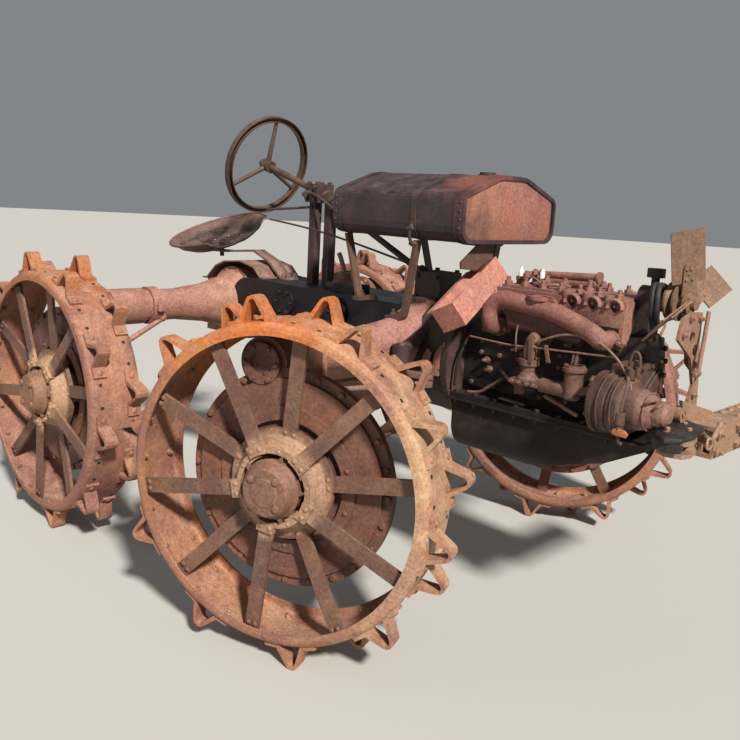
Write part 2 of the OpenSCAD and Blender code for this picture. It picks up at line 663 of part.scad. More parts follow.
// Tank and box.
// the tank grows to the rear from its front end, which carries the tool box
tk_x1 = 300;
tk_x0 = tk_x1 - tank_l;
th = tank_w / 2;
tank_half = concat([[0, 0]], arc([th - 52, 52], 52, -90, 0, 4), arc([th - 34, tank_h - 92], 34, 0, 58, 3),
  arc([64, tank_h - 40], 40, 66, 90, 1), [[0, tank_h]]);
tank_pts = concat(tank_half, [for (i = [len(tank_half) - 2:-1:1]) [-tank_half[i][0], tank_half[i][1]]]);
module fuel_tank() {
  translate([tk_x0, 0, tank_z]) rotate([90, 0, 90]) {
    difference() {
      linear_extrude(tank_l) polygon(tank_pts);
      for (x = [-1, tank_l - 7]) translate([0, 0, x])
        linear_extrude(8) offset(delta = -13) polygon(tank_pts);
    }
    // seams near both ends
    for (x = [30, tank_l - 40]) translate([0, 0, x]) linear_extrude(10) offset(delta = 3) polygon(tank_pts);
  }
  translate([tk_x1 - 150, 46, tank_z + tank_h - 2]) {
    cylinder(r = 34, h = 8);
    cylinder(r = 28, h = 16);
  }
}
module tank_strap() {
  translate([tk_x1 - 220, 0, tank_z]) rotate([90, 0, 90]) linear_extrude(22) difference() {
    offset(delta = 3) polygon(tank_pts);
    polygon(tank_pts);
  }
}
// front legs lean down to the axle's cones, rear legs to the transmission
module tank_legs() {
  for (s = [-1, 1]) mirror([0, s < 0 ? 1 : 0, 0]) {
    difference() {
      translate([0, 238, 0]) rotate([90, 0, 0]) linear_extrude(28) polygon([[80, tank_z - 3],
        [94, tank_z - 3], [58, 468], [52, 440], [20, 405], [-30, 405], [-30, 436], [30, 446], [42, 462]]);
      translate([0, 0, axle_z]) trumpets(400);
      bell();
    }
    multmatrix([[1, 0, -0.32, tk_x0 + 250], [0, 1, 0, 0], [0, 0, 1, 0], [0, 0, 0, 1]])
      box([0, 190, tm_top], [12, 220, tank_z - 3]);
    box([tk_x0 + 85, tm_w - 20, tm_top], [tk_x0 + 115, 220, tm_top + 14]);
  }
}
// inclined box under the tank's front end: corner, then unit edges, then its sizes
bx_o = [tk_x1 - 15, -50, tank_z - 41];
bx_v = [0.190, -0.889, -0.419];
bx_u = [0.365, 0.461, -0.810];
bx_w = [-0.911, 0, -0.412];
bx_l = 322;
bx_h = 82;
bx_d = 93;
bx_t = 4;
module on_box() {
  multmatrix([[bx_v[0], bx_u[0], bx_w[0], bx_o[0]], [bx_v[1], bx_u[1], bx_w[1], bx_o[1]],
    [bx_v[2], bx_u[2], bx_w[2], bx_o[2]], [0, 0, 0, 1]]) children();
}
// open tray with a turned-out edge along its back wall
module tool_box() {
  on_box() {
    difference() {
      cube([bx_l, bx_h, bx_d]);
      translate([bx_t, -1, bx_t]) cube([bx_l - 2 * bx_t, bx_h - bx_t + 1, bx_d - 2 * bx_t]);
    }
    translate([40, 0, bx_d - 0.5]) cube([bx_l - 40, bx_t, 20]);
  }
}
// plate and gusset that hang the box from the tank
module box_bracket() {
  difference() {
    union() {
      translate([tk_x1 - 48, 0, 0]) rotate([90, 0, 90]) linear_extrude(8)
        polygon([[-200, tank_z - 62], [-196, tank_z - 84], [-120, tank_z - 90], [-36, tank_z - 60],
        [-30, tank_z], [-110, tank_z]]);
      box([tk_x1 - 110, -112, tank_z - 10], [tk_x1 - 40, -28, tank_z]);
    }
    on_box() translate([0, 0, -200]) cube([bx_l, bx_h + 200, bx_d + 200]);
  }
}

// Steering and seat.
col = [-1020, 0, 945];
shaft_r = 14;
up_l = 425;
post_top = 810;
module on_column() { translate(col) rotate([0, sw_tilt, 0]) children(); }
module steering_column() {
  for (p = [[-690, 0], [-630, 30]]) translate([p[0], p[1], tm_top]) translate([-18, -18, 0])
    cube([36, 36, post_top - 10 - tm_top]);
  difference() {
    box([-712, -40, post_top - 10], [-640, 52, post_top + 65]);
    on_column() cx(200, 400, shaft_r + run_c);
  }
}
module steering_wheel() {
  on_column() {
    // rim of channel section, open to the front
    rotate([0, 90, 0]) rotate_extrude($fn = 72) polygon([[sw_r - 24, -12], [sw_r, -12], [sw_r, 12],
      [sw_r - 4, 12], [sw_r - 4, -7], [sw_r - 20, -7], [sw_r - 20, 12], [sw_r - 24, 12]]);
    cx(-20, 50, 26);
    cx(20, up_l - 20, shaft_r);
    cx(up_l - 14, 14, 26);
    for (a = [0, 120, 240]) rotate([a, 0, 0]) translate([0, 0, 20]) cylinder(r1 = 11, r2 = 8, h = sw_r - 42);
  }
}
// lower shaft from the joint behind the tank down to the gear
lo_a = [-596, 0, 806];
lo_b = [-20, 0, 545];
lo_t = atan2(lo_a[2] - lo_b[2], lo_b[0] - lo_a[0]);
lo_l = norm(lo_b - lo_a);
module on_lower() { translate(lo_a) rotate([0, lo_t, 0]) children(); }
module steering_shaft() {
  on_lower() { cx(0, lo_l - 20, 12); cx(0, 14, 26); }
}
module steering_gear() {
  difference() {
    union() {
      box([-60, -60, 470], [58, 60, head_top]);
      on_lower() cx(lo_l - 80, 60, 24);
    }
    on_lower() cx(lo_l - 90, 80, 12 + run_c);
    front_core();
  }
  // cross tube to the upright shaft's boss
  difference() {
    union() {
      bar([100, -140, 404], [piv[0], piv[1], 334], 22);
      translate([piv[0], piv[1], piv_z + arm_t + 5]) cylinder(r = 30, h = 80);
    }
    bell();
    translate([0, 0, axle_z]) trumpets(400);
    front_core();
    translate([piv[0], piv[1], piv_z]) cylinder(r = piv_r + run_c, h = 160);
  }
}
seat_c = [-1366, -12, 646];
seat_roll = 20;
seat_t = 5;
// side view of half the dished pan, from its middle out to the lip
pan = [[0, -78], [82, -75], [146, -62], [192, -38], [seat_r - 15, -9], [seat_r, -5]];
module seat() {
  translate(seat_c) rotate([seat_roll, -3, 0]) difference() {
    rotate_extrude() polygon(concat(pan, [[seat_r, 1], [seat_r - 18, -3]],
      [for (i = [3:-1:1]) pan[i] + [-3, seat_t]], [[0, seat_t - 78]]));
    // lower front edge with a notch between the thighs
    translate([140, -300, -50]) cube([200, 600, 100]);
    translate([150, 0, -120]) linear_extrude(200)
      polygon([[-24, -14], [-24, 14], [0, 26], [60, 60], [60, -60], [0, -26]]);
    // rows of round holes
    for (k = [0:4]) rotate([0, 0, k * 72]) translate([56, 0, -90]) cylinder(r = 9, h = 40);
    for (k = [0:9]) rotate([0, 0, 18 + k * 36]) translate([116, 0, -90]) cylinder(r = 10, h = 50);
  }
  // bolt that holds the pan to the spring
  translate([-1366, 12, sp_pts[0][1] - 30]) cylinder(r = 10, h = 60);
}
// flat spring: x and z of its bends
sp_pts = [[-1420, 552], [-1290, 556], [-1065, 576], [-950, 536], [-868, tm_top + 10], [-820, tm_top + 10]];
module seat_spring() {
  difference() {
    ribbon(sp_pts, 10, 64);
    translate([-1366, 12, 500]) cylinder(r = 10 + run_c, h = 100);
  }
}
// flat plate bent along the side view's points p, its top face through them, w wide
function seg_n(a, b) = [a[1] - b[1], b[0] - a[0]] / norm(b - a);
function vert_n(p, i) = i == 0 ? seg_n(p[0], p[1]) : i == len(p) - 1 ? seg_n(p[i - 1], p[i]) :
  let (m = seg_n(p[i - 1], p[i]) + seg_n(p[i], p[i + 1])) m * 2 / (m * m);
module ribbon(p, t, w) {
  rotate([90, 0, 0]) translate([0, 0, -w / 2]) linear_extrude(w)
    polygon(concat(p, [for (i = [len(p) - 1:-1:0]) p[i] - t * vert_n(p, i)]));
}
// x and z of the cover's bends
cv_pts = [[-1345, 431], [-1316, 431], [-1246, 492], [-1180, 518], [-1060, 530], [-960, 512],
  [-912, tm_top + 6], [-892, tm_top + 6]];
module rear_cover() {
  ribbon(cv_pts, 6, 220);
}

color(dark) place() frame_trough();
color(rust) place() front_bolster();
color(dark) place() clutch_housing();
color(dark) place() engine_block();
color(rust) place() cylinder_head();
color(pale) place() exhaust_manifold();
color(rust) place() carburetor();
color(rust) place() accessory_drive();
color(dark) place() fan_bracket();
color(rust) place() fan();
color(rust) place() front_plate();
color(rust) place() engine_pipes();
color(rust) place() front_axle();
color(dark) place() transmission();
color(rust) place() rear_axle();
color(rust) place() rear_case(-1);  // rear_case_right
color(rust) place() rear_case(1);  // rear_case_left
color(rust) place() knuckle(-1);  // knuckle_right
color(rust) place() knuckle(1);  // knuckle_left
color(rust) place() tie_rod();
color(rust) place() drag_link();
color(rust) place() steering_arm();
color(pale) place() front(-1) rim();  // rim_front_right
color(rust) place() front(-1) spokes();  // spokes_front_right
color(rust) place() front(-1) cap();  // cap_front_right
color(pale) place() front(1) rim();  // rim_front_left
color(rust) place() front(1) spokes();  // spokes_front_left
color(rust) place() front(1) cap();  // cap_front_left
color(pale) place() rear(-1) rim();  // rim_rear_right
color(rust) place() rear(-1) spokes();  // spokes_rear_right
color(rust) place() rear(-1) cap();  // cap_rear_right
color(pale) place() rear(1) rim();  // rim_rear_left
color(rust) place() rear(1) spokes();  // spokes_rear_left
color(rust) place() rear(1) cap();  // cap_rear_left
color(rust) place() fuel_tank();
color(rust) place() tank_strap();
color(rust) place() tank_legs();
color(pale) place() tool_box();
color(rust) place() box_bracket();
color(rust) place() steering_column();
color(rust) place() steering_wheel();
color(rust) place() steering_shaft();
color(dark) place() steering_gear();
color(rust) place() seat();
color(rust) place() seat_spring();
color(rust) place() rear_cover();
color(rust) place() drawbar();
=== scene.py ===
from math import cos, pi, radians, sin, tau

import bpy
from mathutils import Matrix, Vector


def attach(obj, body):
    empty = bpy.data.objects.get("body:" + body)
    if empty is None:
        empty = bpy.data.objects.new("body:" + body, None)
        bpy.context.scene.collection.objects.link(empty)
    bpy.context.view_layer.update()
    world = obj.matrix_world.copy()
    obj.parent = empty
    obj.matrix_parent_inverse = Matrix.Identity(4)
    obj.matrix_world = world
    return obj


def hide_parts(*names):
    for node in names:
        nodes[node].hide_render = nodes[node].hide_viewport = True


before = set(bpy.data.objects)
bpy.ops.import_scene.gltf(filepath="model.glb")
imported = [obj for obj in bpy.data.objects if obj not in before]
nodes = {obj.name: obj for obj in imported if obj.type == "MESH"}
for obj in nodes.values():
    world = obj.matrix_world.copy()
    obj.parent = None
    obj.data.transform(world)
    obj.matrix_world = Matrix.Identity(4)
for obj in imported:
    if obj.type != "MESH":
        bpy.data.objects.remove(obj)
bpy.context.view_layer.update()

# Camera, floor and light. The camera stands where the photograph was taken, at chest height off
# the front right wheel. The floor is a plain pale disc, the light is two soft lamps and an even sky.


def tone(code):
    """Colour of a hex code as it looks on a screen, for a shader."""
    parts = [int(code[i:i + 2], 16) / 255 for i in (0, 2, 4)]
    return [c / 12.92 if c < 0.04045 else ((c + 0.055) / 1.055) ** 2.4 for c in parts] + [1.0]


camera_at = Vector((2.3091, -2.3637, 1.3819))
look_along = Vector((-0.6859, 0.6990, -0.2024)).normalized()
camera_right = Vector((0.7047, 0.7074, 0.0547)).normalized()
camera_up = camera_right.cross(look_along).normalized()
bpy.ops.object.camera_add(location=camera_at)
camera = bpy.context.object
camera.rotation_euler = Matrix((camera_right, camera_up, -look_along)).transposed().to_euler()
camera.data.sensor_width = 36
camera.data.lens = 40.52
bpy.context.scene.camera = camera
bpy.context.scene.view_settings.view_transform = "Standard"

FLOOR_TONE = "b2b0ab"
bpy.ops.mesh.primitive_circle_add(vertices=96, radius=40, fill_type="NGON", location=(0, 0, -0.002))
floor = bpy.context.object
floor.name = "floor"
floor_coat = bpy.data.materials.new("pale floor")
floor_coat.use_nodes = True
floor_coat.node_tree.nodes["Principled BSDF"].inputs["Base Color"].default_value = tone(FLOOR_TONE)
floor_coat.node_tree.nodes["Principled BSDF"].inputs["Roughness"].default_value = 0.9
floor.data.materials.append(floor_coat)

sky = bpy.data.worlds.new("studio")
bpy.context.scene.world = sky
sky.use_nodes = True
sky.node_tree.nodes["Background"].inputs["Color"].default_value = (0.90, 0.95, 1.0, 1.0)
sky.node_tree.nodes["Background"].inputs["Strength"].default_value = 0.25

# each lamp: name, kind, place, softness, strength, warmth
LAMPS = [("key lamp", "SUN", (4.3, -1.8, 4.2), 0.09, 6.3, (1.0, 0.96, 0.9)),
         ("fill lamp", "AREA", (-2.5, -5.5, 3.0), 4.0, 45, (0.92, 0.96, 1.0))]
for lamp_name, kind, place, softness, strength, warmth in LAMPS:
    bpy.ops.object.light_add(type=kind, location=place)
    lamp = bpy.context.object
    lamp.name = lamp_name
    if kind == "SUN":
        lamp.data.angle = softness
    else:
        lamp.data.size = softness
    lamp.data.energy = strength
    lamp.data.color = warmth
    lamp.rotation_euler = (Vector((0.2, 0.0, 0.6)) - Vector(place)).to_track_quat("-Z", "Y").to_euler()


# Frame trough. It is a pressed steel tray that carries the engine's underside, with turned-out
# edges bolted to the block's ledge. Old oil and dust have made it almost black.

def rust_group():
    """Shader group: brown skin, warm patches, pale dusty coat on upward faces (a painted sky reflection on
    the tank), streaks and pits, in metres of the object.
    """
    group = bpy.data.node_groups.new("rust skin", "ShaderNodeTree")
    face = group.interface
    for label, kind, value in [("Skin", "NodeSocketColor", tone("5a4038")),
            ("Patch", "NodeSocketColor", tone("8a5030")), ("Dust", "NodeSocketColor", tone("a08478")),
            ("Patches", "NodeSocketFloat", 0.5), ("Dusting", "NodeSocketFloat", 0.4),
            ("Grain", "NodeSocketFloat", 1.0)]:
        face.new_socket(name=label, in_out="INPUT", socket_type=kind).default_value = value
    for label, kind in [("Color", "NodeSocketColor"), ("Roughness", "NodeSocketFloat"),
            ("Height", "NodeSocketFloat")]:
        face.new_socket(name=label, in_out="OUTPUT", socket_type=kind)
    add, join = group.nodes.new, group.links.new
    given, out = add("NodeGroupInput"), add("NodeGroupOutput")
    place = add("ShaderNodeTexCoord")

    def scaled(scale):
        size = add("ShaderNodeMath")
        size.operation = "MULTIPLY"
        size.inputs[1].default_value = scale
        join(given.outputs["Grain"], size.inputs[0])
        return size.outputs[0]

    def noise(scale, detail, roughness, stretch=None):
        node = add("ShaderNodeTexNoise")
        node.inputs["Detail"].default_value = detail
        node.inputs["Roughness"].default_value = roughness
        join(scaled(scale), node.inputs["Scale"])
        if stretch:
            turn = add("ShaderNodeMapping")
            turn.inputs["Scale"].default_value = stretch
            join(place.outputs["Object"], turn.inputs["Vector"])
            join(turn.outputs["Vector"], node.inputs["Vector"])
        else:
            join(place.outputs["Object"], node.inputs["Vector"])
        return node.outputs["Fac"]

    def band(value, low, high, to_low=0.0, to_high=1.0):
        node = add("ShaderNodeMapRange")
        for i, v in enumerate((low, high, to_low, to_high)):
            node.inputs[i + 1].default_value = v
        join(value, node.inputs[0])
        return node.outputs[0]

    def maths(kind, a, b):
        node = add("ShaderNodeMath")
        node.operation = kind
        for i, v in enumerate((a, b)):
            if isinstance(v, float):
                node.inputs[i].default_value = v
            else:
                join(v, node.inputs[i])
        return node.outputs[0]

    def blend(mask, a, b):
        node = add("ShaderNodeMix")
        node.data_type = "RGBA"
        join(mask, node.inputs["Factor"])
        join(a, node.inputs["A"])
        join(b, node.inputs["B"])
        return node.outputs["Result"]

    broad = noise(3.1, 7.0, 0.62)
    clumps = noise(17.0, 6.0, 0.62)
    streaks = noise(11.0, 5.0, 0.6, (1.0, 1.0, 0.22))
    fine = noise(95.0, 5.0, 0.72)
    crust = noise(260.0, 3.0, 0.6)
    cells = add("ShaderNodeTexVoronoi")
    join(place.outputs["Object"], cells.inputs["Vector"])
    join(scaled(60.0), cells.inputs["Scale"])
    pits = band(cells.outputs["Distance"], 0.05, 0.22, 1.0, 0.0)
    pits = maths("MULTIPLY", pits, band(clumps, 0.5, 0.62))
    patch = maths("MULTIPLY", band(maths("ADD", broad, maths("MULTIPLY", clumps, 0.5)), 0.68, 0.88),
            given.outputs["Patches"])
    # the pale coat goes on upward faces and along streaks; on the tank it is a painted sky reflection on the
    # top
    up = add("ShaderNodeSeparateXYZ")
    join(add("ShaderNodeNewGeometry").outputs["Normal"], up.inputs[0])
    up_faces_and_streaks = maths("ADD", band(up.outputs["Z"], 0.1, 1.0, 0.25, 0.9), band(streaks, 0.4, 0.7, -0.2, 0.5))
    dust_and_sheen = maths("MULTIPLY", maths("MULTIPLY", band(clumps, 0.36, 0.66), up_faces_and_streaks), given.outputs["Dusting"])
    coat = blend(patch, given.outputs["Skin"], given.outputs["Patch"])
    coat = blend(maths("MINIMUM", dust_and_sheen, 1.0), coat, given.outputs["Dust"])
    shade = add("ShaderNodeHueSaturation")
    join(coat, shade.inputs["Color"])
    join(band(broad, 0.35, 0.65, 0.492, 0.508), shade.inputs["Hue"])
    mottle = maths("ADD", band(fine, 0.3, 0.7, 0.6, 1.34), band(broad, 0.3, 0.7, -0.14, 0.14))
    mottle = maths("SUBTRACT", mottle, maths("MULTIPLY", pits, 0.35))
    join(maths("SUBTRACT", mottle, band(streaks, 0.52, 0.7, 0.0, 0.22)), shade.inputs["Value"])
    join(shade.outputs[0], out.inputs["Color"])
    join(maths("ADD", band(clumps, 0.3, 0.7, 0.55, 0.8), maths("MULTIPLY", dust_and_sheen, 0.12)),
            out.inputs["Roughness"])
    height = maths("ADD", maths("MULTIPLY", fine, 0.7), maths("MULTIPLY", crust, 0.3))
    height = maths("SUBTRACT", height, maths("MULTIPLY", pits, 0.5))
    join(maths("ADD", height, maths("MULTIPLY", clumps, 0.8)), out.inputs["Height"])
    return group


RUST = rust_group()


def rusted(name, skin, patch, dust_and_sheen, patches=0.5, dust_and_sheen_amount=0.4, grain=1.0, relief=0.0022, metal=0.1,
        gloss=0.0, spots=()):
    """A material with the rust skin at its own colours and amounts; gloss takes roughness off.

    Each spot is a place, the radii where its tone is full and where it ends, and its tone for both."""
    coat = bpy.data.materials.new(name)
    coat.use_nodes = True
    tree = coat.node_tree
    body = tree.nodes["Principled BSDF"]
    body.inputs["Metallic"].default_value = metal
    skin_node = tree.nodes.new("ShaderNodeGroup")
    skin_node.node_tree = RUST
    for label, value in (("Skin", tone(skin)), ("Patch", tone(patch)), ("Dust", tone(dust_and_sheen)),
            ("Patches", patches), ("Dusting", dust_and_sheen_amount), ("Grain", grain)):
        skin_node.inputs[label].default_value = value
    for place, full, end, shade in spots:
        where = tree.nodes.new("ShaderNodeTexCoord")
        away = tree.nodes.new("ShaderNodeVectorMath")
        away.operation = "DISTANCE"
        away.inputs[1].default_value = place
        wave = tree.nodes.new("ShaderNodeTexNoise")
        wave.inputs["Scale"].default_value = 14.0
        wave.inputs["Detail"].default_value = 5.0
        ragged = tree.nodes.new("ShaderNodeMath")
        ragged.operation = "MULTIPLY_ADD"
        ragged.inputs[1].default_value = 2.4 * (end - full)
        fade = tree.nodes.new("ShaderNodeMapRange")
        for i, v in enumerate((full, end, 1.0, 0.0)):
            fade.inputs[i + 1].default_value = v + (1.2 * (end - full) if i < 2 else 0.0)
        tree.links.new(where.outputs["Object"], away.inputs[0])
        tree.links.new(where.outputs["Object"], wave.inputs["Vector"])
        tree.links.new(wave.outputs["Fac"], ragged.inputs[0])
        tree.links.new(away.outputs["Value"], ragged.inputs[2])
        tree.links.new(ragged.outputs[0], fade.inputs[0])
        for label in ("Skin", "Patch"):
            mix = tree.nodes.new("ShaderNodeMix")
            mix.data_type = "RGBA"
            before = skin_node.inputs[label].links
            mix.inputs["A"].default_value = skin_node.inputs[label].default_value
            if before:
                tree.links.new(before[0].from_socket, mix.inputs["A"])
            mix.inputs["B"].default_value = tone(shade)
            tree.links.new(fade.outputs[0], mix.inputs["Factor"])
            tree.links.new(mix.outputs["Result"], skin_node.inputs[label])
    rough = tree.nodes.new("ShaderNodeMath")
    rough.operation = "SUBTRACT"
    rough.inputs[1].default_value = gloss
    bump = tree.nodes.new("ShaderNodeBump")
    bump.inputs["Distance"].default_value = relief
    bump.inputs["Strength"].default_value = 0.9
    tree.links.new(skin_node.outputs["Color"], body.inputs["Base Color"])
    tree.links.new(skin_node.outputs["Roughness"], rough.inputs[0])
    tree.links.new(rough.outputs[0], body.inputs["Roughness"])
    tree.links.new(skin_node.outputs["Height"], bump.inputs["Height"])
    tree.links.new(bump.outputs["Normal"], body.inputs["Normal"])
    return coat


def only(piece):
    """Selects one object alone and makes it the active one."""
    bpy.ops.object.select_all(action="DESELECT")
    piece.select_set(True)
    bpy.context.view_layer.objects.active = piece


def coat_nodes(coat, *names):
    """Gives CAD nodes a material in place of the plain one, and smooths their round faces."""
    for name in names:
        mesh = nodes[name].data
        mesh.materials.clear()
        mesh.materials.append(coat)
        only(nodes[name])
        bpy.ops.object.shade_smooth_by_angle(angle=radians(32))


KINGPINS = (347.374, -36.488, 549.747)


def at(x, y, z):
    """A point in metres of this scene, given in millimetres from between the front kingpins."""
    return Vector(((x + KINGPINS[0]) / 1000, (y + KINGPINS[1]) / 1000, (z + KINGPINS[2]) / 1000))


def lay(point, out, along=(0.31, 0.9, 0.17), scale=1.0):
    """Place of a fastener: its foot at a point, its axis outwards, turned so that its own X runs along."""
    axis = Vector(out).normalized()
    across = Vector(along) - axis * axis.dot(Vector(along))
    if across.length < 0.05:
        across = Vector((0.9, 0.2, 0.3)) - axis * axis.dot(Vector((0.9, 0.2, 0.3)))
    across.normalize()
    turn = Matrix((across, axis.cross(across), axis)).transposed().to_4x4()
    return Matrix.Translation(point) @ turn @ Matrix.Scale(scale, 4)


def close():
    """Leaves edit mode."""
    bpy.ops.object.mode_set(mode="OBJECT")


def open_whole():
    """Opens the active piece in edit mode with all of it selected."""
    bpy.ops.object.mode_set(mode="EDIT")
    bpy.ops.mesh.select_all(action="SELECT")


def pick(piece, wanted):
    """Opens a piece in edit mode with those faces selected whose middle and normal are wanted."""
    if bpy.context.mode != "OBJECT":
        close()
    bpy.context.tool_settings.mesh_select_mode = (False, False, True)
    for group in (piece.data.vertices, piece.data.edges):
        for part in group:
            part.select = False
    for face in piece.data.polygons:
        face.select = bool(wanted(face.center, face.normal))
    bpy.ops.object.mode_set(mode="EDIT")


def settle():
    """Applies the active object's place, turn and scale."""
    bpy.ops.object.transform_apply(location=True, rotation=True, scale=True)


def inset(width):
    """Insets the selected faces."""
    bpy.ops.mesh.inset(thickness=width)


def lift(height):
    """Moves the selected faces along Z."""
    bpy.ops.transform.translate(value=(0, 0, height))


def pull(height):
    """Extrudes the selected faces along Z."""
    bpy.ops.mesh.extrude_region_move(TRANSFORM_OT_translate={"value": (0, 0, height)})


def dress(piece, name, coat, body, finish_slot, smooth=35):
    """Names a finished piece, gives it its material, and fixes it to a body."""
    piece.name = name
    piece.data.materials.clear()
    piece.data.materials.append(coat)
    only(piece)
    bpy.ops.object.shade_smooth_by_angle(angle=radians(smooth))
    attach(piece, body)
    return piece


def hex_bolt(radius, height, stud=0.0):
    """A hexagon head or nut with chamfered corners, its foot on the origin; a nut shows its stud's end."""
    bpy.ops.mesh.primitive_cylinder_add(vertices=6, radius=radius, depth=height, location=(0, 0, height / 2))
    model = bpy.context.object
    settle()
    pick(model, lambda middle, normal: normal.z > 0.9)
    inset(radius * 0.12)
    lift(height * 0.14)
    if stud:
        inset(radius * 0.28)
        pull(stud)
        inset(radius * 0.12)
        lift(radius * 0.1)
    close()
    return model


def rivet(radius, flat=0.6):
    """A domed rivet head, its foot on the origin."""
    bpy.ops.mesh.primitive_uv_sphere_add(segments=10, ring_count=6, radius=radius)
    model = bpy.context.object
    open_whole()
    bpy.ops.mesh.bisect(plane_co=(0, 0, -0.1 * radius), plane_no=(0, 0, 1), clear_inner=True, use_fill=True)
    bpy.ops.mesh.select_all(action="SELECT")
    bpy.ops.transform.resize(value=(1, 1, flat), center_override=(0, 0, 0))
    close()
    return model


def set_out(name, model, places, coat, body="chassis", finish_slot="rusted_steel", smooth=35):
    """Copies a model to each place, joins the copies as one piece on a body, and puts the model away."""
    copies = []
    for place in places:
        copy = model.copy()
        copy.data = model.data.copy()
        bpy.context.collection.objects.link(copy)
        copy.data.transform(place)
        if place.determinant() < 0:
            copy.data.flip_normals()
        copies.append(copy)
    bpy.data.objects.remove(model)
    bpy.ops.object.select_all(action="DESELECT")
    for copy in copies:
        copy.select_set(True)
    bpy.context.view_layer.objects.active = copies[0]
    if len(copies) > 1:
        bpy.ops.object.join()
    return dress(bpy.context.object, name, coat, body, finish_slot, smooth)


# body and slot of what is fixed to the frame
DARK_IRON = ("chassis", "dark_iron")
RUSTED_IRON = ("chassis", "rusted_iron")
TANK_PAINT = ("chassis", "tank_paint")
trough_coat = rusted("oily tray", "231917", "402a22", "5c483d", 0.5, 0.3)
coat_nodes(trough_coat, "frame_trough")
LEDGE_X = (262, 340, 420, 500, 580, 660, 740, 820)
LEDGE_Y = 172
set_out("ledge_bolts", hex_bolt(0.0095, 0.008),
        [lay(at(x, s * LEDGE_Y, 211), (0, 0, 1)) for x in LEDGE_X for s in (-1, 1)],
        trough_coat, *DARK_IRON)
set_out("ledge_nuts", hex_bolt(0.0095, 0.008, 0.006),
        [lay(at(x, s * (LEDGE_Y + 4), 187), (0, 0, -1)) for x in LEDGE_X for s in (-1, 1)],
        trough_coat, *DARK_IRON)


def route(*points):
    """Points of a bend line, given in millimetres as in the part's source."""
    return [at(*point) for point in points]


def bar_along(name, points, radius, coat, body="chassis", finish_slot="rusted_steel", sides=5):
    """A round bar or pipe bent smoothly past its points, with closed ends."""
    line = bpy.data.curves.new(name, "CURVE")
    line.dimensions = "3D"
    run = line.splines.new("NURBS")
    run.points.add(len(points) - 1)
    for knot, point in zip(run.points, points):
        knot.co = (*point, 1.0)
    run.order_u = min(3, len(points))
    run.use_endpoint_u = True
    run.resolution_u = 6
    line.bevel_depth = radius
    line.bevel_resolution = sides - 2
    line.use_fill_caps = True
    piece = bpy.data.objects.new(name, line)
    bpy.context.collection.objects.link(piece)
    only(piece)
    bpy.ops.object.convert(target="MESH")
    piece = bpy.context.object
    open_whole()
    bpy.ops.mesh.remove_doubles(threshold=0.00001)
    bpy.ops.mesh.normals_make_consistent(inside=False)
    close()
    return dress(piece, name, coat, body, finish_slot, 50)


def strip(name, outline, thickness, place, coat, body="chassis", finish_slot="rusted_steel", edge=0.0012):
    """A flat piece cut to an outline in millimetres and laid by a place, its edges slightly rounded."""
    bpy.ops.mesh.primitive_circle_add(vertices=len(outline), radius=1, fill_type="NGON")
    piece = bpy.context.object
    for corner, (u, v) in zip(piece.data.vertices, outline):
        corner.co = (u / 1000, v / 1000, 0)
    open_whole()
    pull(thickness / 1000)
    bpy.ops.mesh.select_all(action="SELECT")
    bpy.ops.mesh.normals_make_consistent(inside=False)
    close()
    if edge:
        soft = piece.modifiers.new("edge", "BEVEL")
        soft.width = edge
        soft.segments = 2
        soft.limit_method = "ANGLE"
        bpy.ops.object.modifier_apply(modifier="edge")
    piece.data.transform(place)
    return dress(piece, name, coat, body, finish_slot)


# a loose strip left lying on the ledge, and the brace beside it
strip("loose_strip_rear", [(-52, -9), (52, -7), (52, 8), (-52, 6)], 4,
        lay(at(470, -150, 216), (0, -0.2, 1), (1, -0.1, 0)),
        rusted("bare strip", "8a6a58", "9a6a4e", "b8968a", 0.4, 0.6))
bar_along("ledge_brace", route((602, -172, 268), (724, -178, 232)), 0.0065,
        rusted("brace iron", "80604f", "8a5a40", "b09484", 0.4, 0.6))

# Cross channel in front. A pressed channel stands across the tray's end, with forked plates, an
# eye plate and the hook, tongue, coil and rod of a tow hitch, bolted and riveted together.
bolster_coat = rusted("hitch rust", "846854", "8f6344", "bb9d87", 0.5, 0.6)
hitch_dark = rusted("dark hitch iron", "1f1c1c", "332926", "57504c", 0.4, 0.35, gloss=0.1)
coat_nodes(bolster_coat, "front_bolster")
set_out("hitch_bolts", hex_bolt(0.014, 0.011, 0.010),
        [lay(at(1000 + x, y, 250), (0, 0, 1)) for x, y in ((-20, -60), (24, -120), (60, -170), (20, -215))]
        + [lay(at(1085, y, z), (1, 0, 0)) for y, z in ((-40, 190), (-40, 242), (100, 190), (100, 242))],
        bolster_coat)
set_out("hitch_rivets", rivet(0.010),
        [lay(at(x, y, 262), (0, 0, 1)) for x in (1020, 1070) for y in range(140, 381, 60)], bolster_coat)
bar_along("hitch_hook", route((955, -70, 226), (962, -112, 204), (992, -138, 186), (1026, -120, 178),
        (1040, -84, 186), (1034, -60, 200)), 0.0075, bolster_coat)
strip("hitch_tongue", [(-112, -40), (-66, -56), (30, -52), (88, -38), (116, -4), (96, 34), (30, 50),
        (-60, 44)], 15, lay(at(1036, -168, 251), (-0.02, -0.06, 1), (0.1, -1, 0)), hitch_dark, *DARK_IRON,
        0.004)
strip("hitch_cheek", [(-34, -12), (0, -20), (44, -12), (50, 10), (-40, 10)], 8,
        lay(at(1042, -264, 236), (0, -1, 0.15), (1, 0, 0)), hitch_dark, *DARK_IRON, 0.002)
coil = [at(1066 + 3.2 * i / 2, -72 - 26 * i / 10 + 17 * cos(i * 1.05), 232 + 17 * sin(i * 1.05))
        for i in range(26)]
bar_along("hitch_coil", coil, 0.0042, bolster_coat)
bar_along("hitch_rod", route((1050, -78, 222), (1085, -110, 226), (1104, -124, 240), (1110, -114, 266),
        (1106, -84, 282)), 0.0075, bolster_coat)

